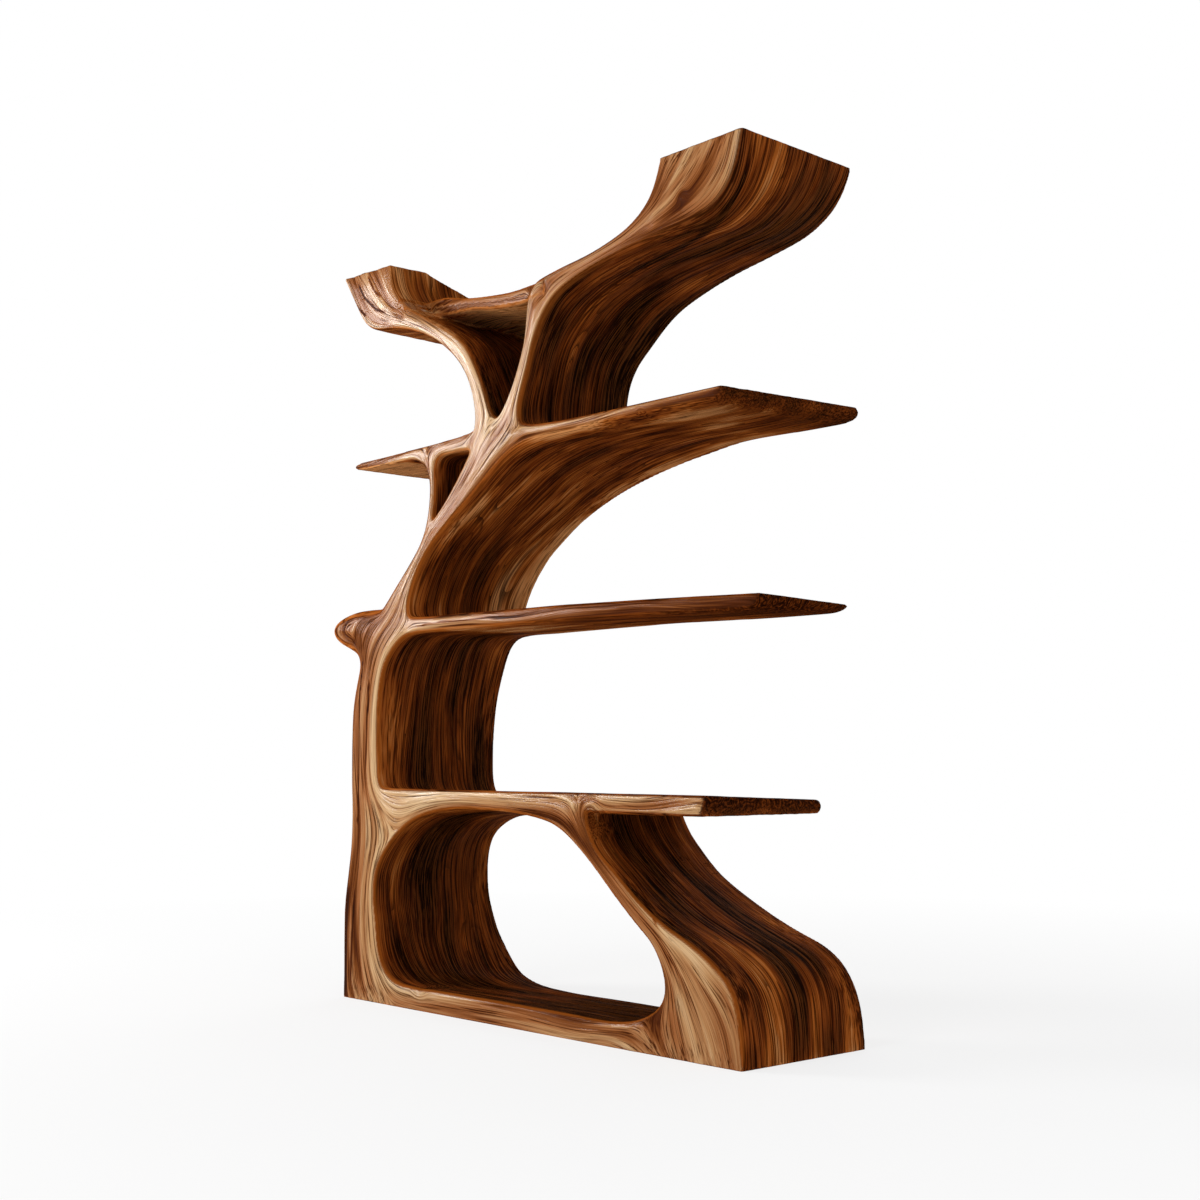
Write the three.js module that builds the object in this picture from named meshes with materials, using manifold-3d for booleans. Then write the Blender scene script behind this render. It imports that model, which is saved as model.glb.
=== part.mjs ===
// Tree shaped bookshelf, carved from glued sections of solid wood.
//
// The bookshelf is one flowing figure seen from the front: a trunk that stands on a long base,
// a leg that comes down from the first shelf, three shelves to the right, one shelf and a short
// stub to the left, and two branches that carry a bridge between them. The figure runs straight
// back through the depth of a bookcase, with its back outline a little away from its front one.
// The maker glues it up from sections of limb. Each joint is a flat butt joint with a hidden loose
// tenon in a mortise on both sides, and the surface is carved and sanded across the joints.
//
// Axes: X runs to the right, Y from the front to the back, Z up. The origin lies on the floor under
// the middle of the whole. Units are millimetres.

import * as THREE from "three";
import { mergeVertices } from "three/addons/utils/BufferGeometryUtils.js";
import Module from "manifold-3d";

const wasm = await Module();
wasm.setup();

// Sizes up from the floor, one above the other
const rail_height = 48;
const bay_0_height = 410;
const shelf_1_thickness = 32;
const bay_2_height = 358;
const shelf_2_thickness = 33;
const bay_3_height = 360;
const shelf_3_thickness = 25;
const fork_height = 286;
const bridge_thickness = 30;
const crown_height = 168;

// Sizes across, one beside the other, from the tip of the stub to the right end of shelf 2
const stub_reach = 66;
const trunk_width = 125;
const bough_reach = 506;
const shelf_reach = 649;
const tip_overhang = 42;

// Sizes from the front to the back
const depth = 350;
const right_crown_setback = 25;
const left_crown_depth = 81;
const bridge_setback = 70;
const bridge_back_setback = 15;
const right_crown_back = depth - right_crown_setback;
const bridge_end_back = depth - bridge_back_setback;

// Edges and joints
const edge_round = 11;
const edge_middle_share = 0.5;
const back_round_share = 0.5;
const glue_gap = 0.3;
const tenon_thickness = 12;
const tenon_length = 64;
const slim_tenon_thickness = 6;
const slim_tenon_length = 28;
const tenon_width = 130;
const tenon_setback = 85;
const overrun = 40;
const nudge = glue_gap / 100;

// How finely curves are drawn: steps between two outline points, and steps round an edge
const curve_steps = 2;
const round_steps = 2;

// Colours of the wood, and how it takes light
const heartwood = { color: 0x6b3a1c, roughness: 0.42, metalness: 0 };
const sapwood = { color: 0xb98a5e, roughness: 0.46, metalness: 0 };
const tenon_wood = { color: 0xcaa777, roughness: 0.7, metalness: 0 };

// The drawing grid. A place across is a number such as 2.4, which means 0.4 of the way from line 2
// to line 3 of the lines below, and a place up is read in the same way. Past the last line, the
// last span carries on. All outlines, joints and sections are written in such shares.
function running_total(start, spans) {
  const lines = [start];
  for (const span of spans) lines.push(lines[lines.length - 1] + span);
  return lines;
}

const spans_across = [stub_reach, trunk_width, bough_reach, shelf_reach, tip_overhang];
const overall_width = spans_across.reduce((sum, span) => sum + span, 0);
const lines_across = running_total(-overall_width / 2, spans_across);

const spans_up = [
  rail_height, bay_0_height, shelf_1_thickness, bay_2_height, shelf_2_thickness,
  bay_3_height, shelf_3_thickness, fork_height, bridge_thickness, crown_height,
];
const overall_height = spans_up.reduce((sum, span) => sum + span, 0);
const lines_up = running_total(0, spans_up);

function on_grid(lines, share) {
  const line = Math.min(Math.max(Math.floor(share), 0), lines.length - 2);
  return lines[line] + (share - line) * (lines[line + 1] - lines[line]);
}

function place([across, up]) {
  return new THREE.Vector2(on_grid(lines_across, across), on_grid(lines_up, up));
}

// The back of the left crown leans forward from this place up to its flat top
const lean_start_share = 9.48;

function leaning_back(up) {
  const lean_start = on_grid(lines_up, lean_start_share);
  const risen = (up - lean_start) / (overall_height - lean_start);
  return THREE.MathUtils.lerp(depth, left_crown_depth, THREE.MathUtils.clamp(risen, 0, 1));
}

// Outlines. Each run is one smooth curve through its points, and runs meet at corners. A point is
// [across, up] where front and back agree, and [across, up, across, up] where the back differs.
// round is the share of edge_round at the first and last point, and the outline runs through the
// middle of that rounding. back and front are how deep the back and front faces lie there, and
// leans marks the left crown, whose back leans forward. The wood is on the right of each run.
const outer_outline_share = [
  { name: "trunk, left side", round: [0.2, 2], points: [
    [1, 0], [0.98, 1.03], [0.944, 1.25], [0.964, 1.41], [1.084, 1.59], [1.174, 1.76],
    [1.19, 1.96], [1.15, 3.11], [1.135, 3.33], [1.158, 3.53], [1.25, 3.676], [1.4, 3.82],
  ] },
  { name: "stub", round: [1.4, 1.4], points: [
    [1.4, 3.82], [1.3, 3.9], [1.04, 3.944], [0.51, 3.98], [0.06, 4.27], [-0.05, 4.72],
    [0.1, 5.01], [0.62, 5.048], [1.144, 5.067], [1.64, 5.07], [2.01, 5.065],
  ] },
  { name: "bough and strut, left side", round: [1.4, 0.4], points: [
    [2.01, 5.065], [2.095, 5.175], [2.194, 5.303], [2.277, 5.414], [2.331, 5.505], [2.367, 5.622],
    [2.385, 5.775], [2.381, 5.894], [2.35, 5.978], [2.298, 6.32], [2.208, 6.6],
  ] },
  { name: "left shelf, underside", round: [0.35, 0.25], points: [
    [2.208, 6.6, 2.227, 6.6], [1.96, 6.64, 2.03, 6.64], [1.144, 6.72, 1.336, 6.72],
  ] },
  { name: "left shelf, end", round: [0.25, 0.25], points: [
    [1.144, 6.72, 1.336, 6.72], [1.096, 7, 1.288, 7], [1.144, 7.024, 1.336, 7.024],
  ] },
  { name: "left shelf, top", round: [0.25, 0.4], points: [
    [1.144, 7.024, 1.336, 7.024], [2.11, 7.03, 2.13, 7.03], [2.385, 7.042, 2.366, 7.042],
    [2.583, 7.052, 2.543, 7.052], [2.706, 7.07, 2.642, 7.07],
  ] },
  { name: "left branch and crown, outside", round: [0.7, 0.5], leans: true, points: [
    [2.706, 7.07, 2.642, 7.07], [2.717, 7.154, 2.654, 7.154], [2.705, 7.3, 2.642, 7.3],
    [2.67, 7.469, 2.619, 7.469], [2.613, 7.626, 2.575, 7.626], [2.539, 7.755, 2.52, 7.755],
    [2.44, 7.878, 2.43, 7.878], [2.332, 7.98], [2.213, 8.6], [2.079, 9.01], [1.94, 9.04],
    [1.76, 9.07], [1.544, 9.135], [1.336, 9.274], [1.144, 9.47], [0.848, 9.72], [0.4, 9.98],
  ] },
  { name: "left crown, top", round: [0.2, 0.2], leans: true, points: [[0.4, 9.98], [2.05, 9.94]] },
  { name: "left crown and branch, inside", round: [0.3, 0.5], leans: true, points: [
    [2.05, 9.94], [2.058, 9.84], [2.075, 9.643], [2.128, 9.417], [2.217, 9.19], [2.326, 9.018],
    [2.445, 7.997], [2.559, 7.885, 2.543, 7.885],
    [2.642, 7.769, 2.613, 7.769], [2.702, 7.615, 2.658, 7.615], [2.757, 7.441, 2.702, 7.441],
    [2.796, 7.287, 2.731, 7.287], [2.828, 7.161, 2.761, 7.161], [2.866, 7.119, 2.794, 7.119],
    [2.903, 7.168, 2.83, 7.168],
  ] },
  { name: "right branch, left side", round: [0.5, 0.8], points: [
    [2.903, 7.168, 2.83, 7.168], [2.968, 7.336, 2.887, 7.336], [3.012, 7.51, 2.915, 7.51],
    [3.039, 7.685, 2.962, 7.685], [3.049, 7.86, 3.032, 7.86], [3.057, 7.993], [3.082, 8.867],
    [3.137, 9.024, 3.137, 9.05],
  ] },
  { name: "right branch and crown, top", round: [0.8, 0.3], back: [depth, right_crown_back],
    points: [
    [3.137, 9.024, 3.137, 9.05], [3.23, 9.071, 3.23, 9.155], [3.337, 9.113, 3.337, 9.25],
    [3.445, 9.19, 3.445, 9.351], [3.538, 9.298, 3.538, 9.464], [3.602, 9.435, 3.596, 9.595],
    [3.646, 9.607, 3.636, 9.738], [3.67, 9.798, 3.664, 9.869], [3.687, 10],
  ] },
  { name: "right crown, top", round: [0.2, 0.2], back: [right_crown_back, right_crown_back],
    points: [[3.687, 10], [4.41, 10, 4.34, 10]] },
  { name: "right crown, right side", round: [0.3, 1], back: [right_crown_back, depth], points: [
    [4.41, 10, 4.34, 10], [4.29, 9.87, 4.1, 9.87], [4.12, 9.7, 3.965, 9.74],
    [3.988, 9.488, 3.92, 9.63], [3.951, 9.31, 3.87, 9.5], [3.904, 9.173, 3.8, 9.395],
    [3.838, 9.113, 3.735, 9.335],
  ] },
  { name: "right branch, underside", round: [1, 0.8], points: [
    [3.838, 9.113, 3.735, 9.335], [3.692, 9.089, 3.63, 9.255], [3.538, 9.054, 3.52, 9.195],
    [3.384, 8.833, 3.384, 9.071], [3.276, 8.3, 3.254, 8.48], [3.191, 7.951, 3.172, 7.944],
    [3.125, 7.808, 3.092, 7.801], [3.083, 7.633, 3.022, 7.671], [3.054, 7.458, 2.974, 7.503],
    [3.026, 7.294, 2.955, 7.311], [3.006, 7.147, 2.955, 7.154], [3.014, 7.042, 2.97, 7.049],
  ] },
  { name: "shelf 3, top", round: [0.6, 0.3], points: [
    [3.014, 7.042, 2.97, 7.049], [3.076, 7.015], [3.23, 6.96], [3.384, 6.93],
    [3.692, 6.93], [3.931, 6.93, 4.071, 6.75],
  ] },
  { name: "shelf 3, end", round: [0.25, 0.25], points: [
    [3.931, 6.93, 4.071, 6.75], [3.941, 5.997, 4.071, 6],
  ] },
  { name: "shelf 3 and bough, underside", round: [0.35, 1.6], points: [
    [3.941, 5.997, 4.071, 6], [3.769, 6.04, 3.8, 6.04], [3.538, 6.08, 3.553, 6],
    [3.307, 6.08, 3.384, 5.969], [3.137, 6.04, 3.23, 5.928], [3.014, 5.978, 3.076, 5.875],
    [2.899, 5.917, 2.919, 5.811], [2.781, 5.814, 2.781, 5.742], [2.642, 5.692, 2.642, 5.656],
    [2.514, 5.581, 2.524, 5.556], [2.405, 5.469, 2.419, 5.456], [2.316, 5.344, 2.326, 5.317],
    [2.257, 5.219, 2.263, 5.192], [2.225, 5.108, 2.235, 5.094], [2.219, 5.042, 2.227, 5.036],
    [2.239, 5.006, 2.247, 5.006],
  ] },
  { name: "shelf 2, top", round: [0.6, 0.3], points: [
    [2.239, 5.006, 2.247, 5.006], [2.385, 4.97], [2.702, 4.94], [3.23, 4.85], [3.692, 4.64],
    [5, 4.41, 3.954, 4.45],
  ] },
  { name: "shelf 2, end", round: [0.25, 0.25], points: [
    [5, 4.41, 3.954, 4.45], [4.952, 3.965, 3.951, 4.1],
  ] },
  { name: "shelf 2, underside, and wall of bay 2", round: [0.3, 1.2], points: [
    [4.952, 3.965, 3.951, 4.1], [3.692, 3.983, 3.646, 4.242], [3.307, 3.994, 3.291, 4.394],
    [2.899, 4.03, 2.899, 4.424], [2.504, 4.061, 2.504, 4.424], [2.287, 4.061, 2.287, 4.424],
    [2.188, 3.986, 2.19, 4.242], [2.113, 3.916, 2.128, 3.958], [2.049, 3.818, 2.08, 3.827],
    [2.014, 3.684, 2.037, 3.665], [2, 3.517, 2.012, 3.517], [2, 3.335, 1.99, 3.321],
    [2.004, 3.168, 1.98, 3.168], [2.014, 3.034, 2.004, 3.01], [2.034, 3, 2.034, 2.55],
  ] },
  { name: "shelf 1, top", round: [0.6, 0.4], points: [
    [2.034, 3, 2.034, 2.55], [3.851, 3, 3.846, 2.62],
  ] },
  { name: "shelf 1, end", round: [0.3, 0.3], points: [
    [3.851, 3, 3.846, 2.62], [3.851, 1.992, 3.84, 1.99],
  ] },
  { name: "shelf 1, underside", round: [0.4, 0.5], points: [
    [3.851, 1.992, 3.84, 1.99], [3.341, 1.996, 3.222, 1.99],
  ] },
  { name: "leg, right side", round: [0.6, 0.3], points: [
    [3.341, 1.996, 3.222, 1.99], [3.348, 1.937, 3.236, 1.949], [3.367, 1.861, 3.27, 1.859],
    [3.411, 1.783, 3.33, 1.761], [3.476, 1.707, 3.402, 1.661], [3.553, 1.61, 3.48, 1.585],
    [3.63, 1.527, 3.576, 1.51], [3.707, 1.463, 3.669, 1.444], [3.784, 1.415, 3.769, 1.383],
    [3.858, 1.354, 3.849, 1.341], [3.923, 1.28, 3.911, 1.28], [3.966, 1.205, 3.954, 1.2],
    [3.986, 1.102, 3.982, 1.098], [3.994, 0.83], [4, 0],
  ] },
  { name: "base, underside", round: [0.2, 0.2], points: [[4, 0], [1, 0]] },
];

const bay_0_outline_share = [
  { name: "wall of bay 0", closed: true, round: [0.9, 0.9], points: [
    [3.114, 1.956, 3.106, 1.946], [2.978, 1.98, 2.958, 1.968], [2.8, 1.988, 2.761, 1.959],
    [2.623, 1.988, 2.573, 1.944], [2.464, 1.971, 2.385, 1.932], [2.336, 1.939, 2.227, 1.924],
    [2.227, 1.885, 2.105, 1.878], [2.128, 1.8, 2.009, 1.798], [2.045, 1.705, 1.876, 1.688],
    [1.976, 1.6, 1.844, 1.583], [1.93, 1.493, 1.854, 1.48], [1.96, 1.407, 1.91, 1.402],
    [2.006, 1.317, 2.004, 1.322], [2.014, 1.224, 2.037, 1.237], [2.038, 1.132, 2.087, 1.159],
    [2.089, 1.054, 2.147, 1.073], [2.168, 1.01, 2.215, 0.98], [2.287, 0.979, 2.336, 0.54],
    [2.504, 1, 2.543, 0.36], [2.899, 1, 2.899, 0.34], [3.23, 1, 3.23, 0.34],
    [3.461, 0.979, 3.461, 0.38], [3.553, 1.015, 3.553, 0.6], [3.625, 1.054, 3.625, 1],
    [3.678, 1.112, 3.678, 1.083], [3.697, 1.195, 3.692, 1.176], [3.68, 1.293, 3.67, 1.273],
    [3.641, 1.39, 3.622, 1.361], [3.576, 1.471, 3.552, 1.434], [3.491, 1.58, 3.464, 1.546],
    [3.399, 1.702, 3.37, 1.668], [3.315, 1.798, 3.284, 1.766], [3.232, 1.88, 3.207, 1.854],
    [3.183, 1.924, 3.16, 1.907],
  ] },
];

const pocket_outline_share = [
  { name: "wall of the pocket", closed: true, round: [0.4, 0.4], points: [
    [2.405, 5.608], [2.453, 5.664], [2.506, 5.725], [2.561, 5.806], [2.611, 5.883], [2.658, 5.964],
    [2.686, 6.28], [2.642, 6.44], [2.543, 6.4], [2.455, 6.4], [2.421, 5.997], [2.419, 5.914],
    [2.423, 5.803], [2.417, 5.692],
  ] },
];

const bridge_outline_share = [
  { name: "bridge, end in the left branch", round: [0.4, 0.4],
    front: [bridge_setback, bridge_setback], back: [bridge_end_back, bridge_end_back],
    points: [[2.13, 9.26], [2.13, 9.39]] },
  { name: "bridge, top", round: [0.5, 0.5], front: [bridge_setback, 0],
    back: [bridge_end_back, depth], points: [
    [2.13, 9.39], [2.336, 9.345], [2.524, 9.202], [2.721, 9.095], [2.919, 9.012], [3.1, 8.933],
  ] },
  { name: "bridge, end in the right branch", round: [0.5, 0.5], points: [[3.1, 8.933], [3.1, 8]] },
  { name: "bridge, underside", round: [0.5, 0.4], front: [0, bridge_setback],
    back: [depth, bridge_end_back], points: [
    [3.1, 8], [3.014, 8], [2.919, 8.167], [2.737, 8.633], [2.583, 9.036], [2.336, 9.131],
    [2.13, 9.26],
  ] },
];

// Joints. Each is a straight line between two places in the air on both sides of the limb. Those
// of the strut, which is thinner than the rest, get slim tenons.
const joint_line_share = {
  foot_to_rail: [[2.306, 1.054], [2.306, -1.25]],
  rail_to_boot: [[3.492, 1.066], [3.492, -1.25]],
  boot_to_leg: [[3.581, 1.341], [3.695, 1.571]],
  leg_to_shelf_1: [[3.214, 1.734], [3.4, 1.96]],
  foot_to_stem: [[0.091, 1.615], [2.089, 1.615]],
  stem_to_shelf_1: [[2.267, 3.07], [2.267, 1.859]],
  stem_to_neck: [[0.091, 3.419], [2.089, 3.419]],
  neck_to_shelf_2: [[2.306, 5.086], [2.306, 3.944]],
  neck_to_stub: [[1.24, 3.832], [1.52, 5.122]],
  neck_to_bough: [[2.049, 5.247], [2.306, 5.086]],
  bough_to_strut: [[2.287, 5.664], [2.445, 5.706]],
  strut_to_left_shelf: [[2.306, 5.919], [2.455, 5.983]],
  left_shelf_to_tip: [[2.156, 7.119], [2.156, 5.997]],
  left_shelf_to_fork: [[2.583, 7.119], [2.603, 5.997]],
  bough_to_fork: [[2.514, 5.872], [2.702, 5.594]],
  fork_to_shelf_3: [[3.091, 7.119], [3.06, 5.817]],
  fork_to_left_branch: [[2.583, 7.241], [2.83, 7.357]],
  fork_to_right_branch: [[2.83, 7.357], [3.09, 7.224]],
  left_branch_to_crown: [[2.059, 8.1], [2.168, 9.643]],
  right_branch_to_crown: [[3.476, 9.435], [3.499, 8.1]],
  bridge_to_left_branch: [[2.415, 9.524], [2.381, 9.006]],
  bridge_to_right_branch: [[3.014, 9.167], [3.014, 7.923]],
};

const slim_joints = ["bough_to_strut", "strut_to_left_shelf"];

// Sections. Each is what the figure holds inside a fence that runs through the air from joint to
// joint. A fence names both ends of the joints it passes, or gives a place of its own.
const [left_share, right_share, below_share, above_share] = [-0.9, 6.5, -1.25, 10.3];
const section_fence_share = {
  base_rail: ["foot_to_rail b", "rail_to_boot b", "rail_to_boot a", "foot_to_rail a"],
  trunk_foot: ["foot_to_rail b", [left_share, below_share], [left_share, 1.615], "foot_to_stem b",
    "foot_to_rail a"],
  boot: ["rail_to_boot b", [right_share, below_share], [right_share, 1.571], "boot_to_leg b",
    "boot_to_leg a", "rail_to_boot a"],
  leg: ["boot_to_leg a", "boot_to_leg b", "leg_to_shelf_1 b", "leg_to_shelf_1 a"],
  shelf_1: ["leg_to_shelf_1 a", "leg_to_shelf_1 b", [3.923, 1.96], [3.923, 3.07],
    "stem_to_shelf_1 a", "stem_to_shelf_1 b"],
  trunk_stem: ["foot_to_stem b", "foot_to_stem a", "stem_to_neck a", "stem_to_neck b",
    "stem_to_shelf_1 a", "stem_to_shelf_1 b"],
  trunk_neck: ["stem_to_neck b", "stem_to_neck a", "neck_to_stub a", "neck_to_stub b",
    "neck_to_bough a", "neck_to_bough b", "neck_to_shelf_2 b"],
  shelf_2: ["neck_to_shelf_2 a", "neck_to_shelf_2 b", [right_share, 3.944], [right_share, 5.086]],
  stub: ["neck_to_stub b", "neck_to_stub a", [left_share, 3.832], [left_share, 5.122]],
  bough: ["neck_to_bough a", "neck_to_bough b", "bough_to_fork b", "bough_to_fork a",
    "bough_to_strut b", "bough_to_strut a"],
  left_strut: ["bough_to_strut a", "bough_to_strut b", "strut_to_left_shelf b",
    "strut_to_left_shelf a"],
  left_shelf: ["strut_to_left_shelf a", "strut_to_left_shelf b", "left_shelf_to_fork b",
    "left_shelf_to_fork a", "left_shelf_to_tip a", "left_shelf_to_tip b"],
  left_shelf_tip: ["left_shelf_to_tip a", "left_shelf_to_tip b", [left_share, 5.997],
    [left_share, 7.119]],
  fork: ["bough_to_fork a", "bough_to_fork b", "fork_to_shelf_3 b", "fork_to_shelf_3 a",
    "fork_to_right_branch b", "fork_to_right_branch a", "fork_to_left_branch a",
    "left_shelf_to_fork a", "left_shelf_to_fork b"],
  shelf_3: ["fork_to_shelf_3 a", "fork_to_shelf_3 b", [right_share, 5.817], [right_share, 7.119]],
  left_branch: ["fork_to_left_branch a", "fork_to_left_branch b", [2.781, 7.818],
    "bridge_to_left_branch b", "bridge_to_left_branch a", "left_branch_to_crown b",
    "left_branch_to_crown a"],
  left_crown: ["left_branch_to_crown a", "left_branch_to_crown b", [2.168, above_share],
    [left_share, above_share], [left_share, 8.1]],
  bridge: ["bridge_to_left_branch a", "bridge_to_left_branch b", "bridge_to_right_branch b",
    "bridge_to_right_branch a"],
  right_branch: ["fork_to_right_branch b", "fork_to_right_branch a", [2.781, 7.818],
    "bridge_to_right_branch b", "bridge_to_right_branch a", "right_branch_to_crown a",
    "right_branch_to_crown b"],
  right_crown: ["right_branch_to_crown a", "right_branch_to_crown b", [right_share, 8.1],
    [right_share, above_share], [3.476, above_share]],
};

// Sections whose front is mostly pale sapwood
const pale_sections = ["base_rail", "boot", "stub", "left_shelf", "left_shelf_tip", "left_strut",
  "fork", "bough"];

// Curves
function along(values, t) {
  const at = t * (values.length - 1);
  const step = Math.min(Math.floor(at), values.length - 2);
  return THREE.MathUtils.lerp(values[step], values[step + 1], at - step);
}

function sample_run(run) {
  const spline = (pick) => new THREE.CatmullRomCurve3(
    run.points.map((point) => {
      const spot = place(pick(point));
      return new THREE.Vector3(spot.x, 0, spot.y);
    }), Boolean(run.closed), "centripetal");
  const front_curve = spline((point) => point.slice(0, 2));
  const back_curve = spline((point) => point.slice(-2));
  const straight = run.points.length === 2;
  const spans = run.closed ? run.points.length : run.points.length - 1;
  const steps = straight ? 1 : spans * curve_steps;
  const samples = [];
  for (let step = 0; step < steps; step += 1) {
    const t = step / steps;
    const front = front_curve.getPoint(t);
    samples.push({
      front,
      back: back_curve.getPoint(t),
      front_y: along(run.front ?? [0, 0], t),
      back_y: run.leans ? leaning_back(front.z) : along(run.back ?? [depth, depth], t),
      round: edge_round * along(run.round, t),
    });
  }
  return samples;
}

function sample_outline(runs) {
  return runs.flatMap(sample_run);
}

// One ring of the loft. share is the place between the front and back faces, drop is how far the
// rounded edge has fallen from the face, and inset is how far it has moved into the wood. The
// foot and the tops of the crowns are sawn flat.
function ring_at(samples, ring) {
  const flat = samples.map((sample) => {
    const from_front = sample.front_y + sample.round * ring.drop;
    const from_back = sample.back_y - sample.round * ring.drop * back_round_share;
    const y = ring.beyond !== undefined ? ring.beyond
      : THREE.MathUtils.lerp(from_front, from_back, ring.share);
    const mix = THREE.MathUtils.clamp(y / depth, 0, 1);
    const spot = sample.front.clone().lerp(sample.back, mix);
    spot.y = y;
    return spot;
  });
  return flat.map((spot, index) => {
    const before = flat[(index + flat.length - 1) % flat.length];
    const after = flat[(index + 1) % flat.length];
    const into_wood = new THREE.Vector3(after.z - before.z, 0, before.x - after.x).normalize();
    const moved = spot.clone().addScaledVector(into_wood, samples[index].round * ring.inset);
    moved.z = THREE.MathUtils.clamp(moved.z, 0, overall_height);
    return moved;
  });
}

function edge_rings(share) {
  const width_share = share === 0 ? 1 : back_round_share;
  const rings = [];
  for (let step = 0; step <= round_steps; step += 1) {
    const angle = (step / round_steps) * (Math.PI / 2);
    const fallen = 1 - Math.sin(angle);
    rings.push({ share, drop: 1 - Math.cos(angle), inset: width_share * fallen - edge_middle_share });
  }
  return share === 0 ? rings : rings.reverse();
}

// The rings from front to back. A cutter carries on past both faces.
function ring_plan(is_cutter) {
  const front = edge_rings(0);
  const back = edge_rings(1);
  const plan = [...front, { share: 0.5, drop: 0, inset: -edge_middle_share }, ...back];
  if (is_cutter) {
    plan.unshift({ ...front[0], beyond: -overrun });
    plan.push({ ...back[back.length - 1], beyond: depth + overrun });
  }
  return plan;
}

// A closed solid from a set of rings with the same number of points
function loft(rings) {
  const count = rings[0].length;
  const positions = rings.flat().flatMap((point) => [point.x, point.y, point.z]);
  const faces = [];
  for (let ring = 0; ring < rings.length - 1; ring += 1) {
    for (let index = 0; index < count; index += 1) {
      const next = (index + 1) % count;
      const [a, b] = [ring * count + index, ring * count + next];
      faces.push(a, b, b + count, a, b + count, a + count);
    }
  }
  for (const [a, b, c] of cap_of(rings[0])) faces.push(c, b, a);
  const last = (rings.length - 1) * count;
  for (const [a, b, c] of cap_of(rings[rings.length - 1])) faces.push(last + a, last + b, last + c);
  return solid_from(positions, faces);
}

// The triangles that close a ring, turning the same way as the ring itself. Every other point is
// nudged, because the triangulation would leave out a point that lies exactly on a straight line.
function cap_of(ring) {
  const contour = ring.map((point, index) => (
    new THREE.Vector2(point.x, point.z + (index % 2) * nudge)));
  const turning = THREE.ShapeUtils.area(contour);
  return THREE.ShapeUtils.triangulateShape(contour, []).map(([a, b, c]) => {
    const corners = [contour[a], contour[b], contour[c]];
    return THREE.ShapeUtils.area(corners) * turning >= 0 ? [a, b, c] : [c, b, a];
  });
}

// Solids
function solid_from(positions, faces) {
  const mesh = () => new wasm.Mesh({
    numProp: 3,
    vertProperties: new Float32Array(positions),
    triVerts: new Uint32Array(faces),
  });
  const solid = new wasm.Manifold(mesh());
  if (solid.volume() > 0) return solid;
  for (let index = 0; index < faces.length; index += 3) {
    [faces[index], faces[index + 1]] = [faces[index + 1], faces[index]];
  }
  return new wasm.Manifold(mesh());
}

function solid_of_geometry(geometry) {
  const bare = geometry.clone();
  bare.deleteAttribute("normal");
  bare.deleteAttribute("uv");
  const merged = mergeVertices(bare);
  return solid_from([...merged.attributes.position.array], [...merged.index.array]);
}

function geometry_of_solid(solid) {
  const mesh = solid.getMesh();
  const geometry = new THREE.BufferGeometry();
  geometry.setAttribute("position", new THREE.BufferAttribute(mesh.vertProperties, 3));
  geometry.setIndex(new THREE.BufferAttribute(mesh.triVerts, 1));
  return geometry;
}

function loft_outline(runs, is_cutter) {
  const samples = sample_outline(runs);
  return loft(ring_plan(is_cutter).map((ring) => ring_at(samples, ring)));
}

function figure() {
  return loft_outline(outer_outline_share, false)
    .add(loft_outline(bridge_outline_share, false))
    .subtract(loft_outline(bay_0_outline_share, true))
    .subtract(loft_outline(pocket_outline_share, true));
}

// The space of one section: its fence, set back by half the glue line, through the whole depth
function fence_places(fence) {
  return fence.map((post) => {
    if (typeof post !== "string") return place(post);
    const [joint, end] = post.split(" ");
    return place(joint_line_share[joint][end === "a" ? 0 : 1]);
  });
}

function set_back(posts, distance) {
  const turning = Math.sign(THREE.ShapeUtils.area(posts));
  return posts.map((post, index) => {
    const before = posts[(index + posts.length - 1) % posts.length];
    const after = posts[(index + 1) % posts.length];
    const arriving = post.clone().sub(before).normalize();
    const leaving = after.clone().sub(post).normalize();
    const inward = new THREE.Vector2(-arriving.y - leaving.y, arriving.x + leaving.x);
    const reach = distance / Math.max(inward.lengthSq() / 2, distance);
    return post.clone().addScaledVector(inward, turning * reach);
  });
}

function fence_solid(fence) {
  const shape = new THREE.Shape(set_back(fence_places(fence), glue_gap / 2));
  const geometry = new THREE.ExtrudeGeometry(shape, {
    depth: depth + 2 * overrun, bevelEnabled: false,
  });
  geometry.rotateX(Math.PI / 2);
  geometry.translate(0, depth + overrun, 0);
  return solid_of_geometry(geometry);
}

// Where a joint line passes through wood, in the front or the back face
function wood_middle(line, side, loops) {
  const [from, to] = line.map(place);
  const hits = [];
  for (const samples of loops) {
    samples.forEach((sample, index) => {
      const next = samples[(index + 1) % samples.length];
      const a = new THREE.Vector2(sample[side].x, sample[side].z);
      const edge = new THREE.Vector2(next[side].x, next[side].z).sub(a);
      const way = to.clone().sub(from);
      const turn = way.cross(edge);
      if (turn === 0) return;
      const start = a.clone().sub(from);
      const t = start.cross(edge) / turn;
      const s = start.cross(way) / turn;
      if (t > 0 && t < 1 && s >= 0 && s < 1) hits.push(t);
    });
  }
  const middle = (Math.min(...hits) + Math.max(...hits)) / 2;
  return from.lerp(to, middle);
}

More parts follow.
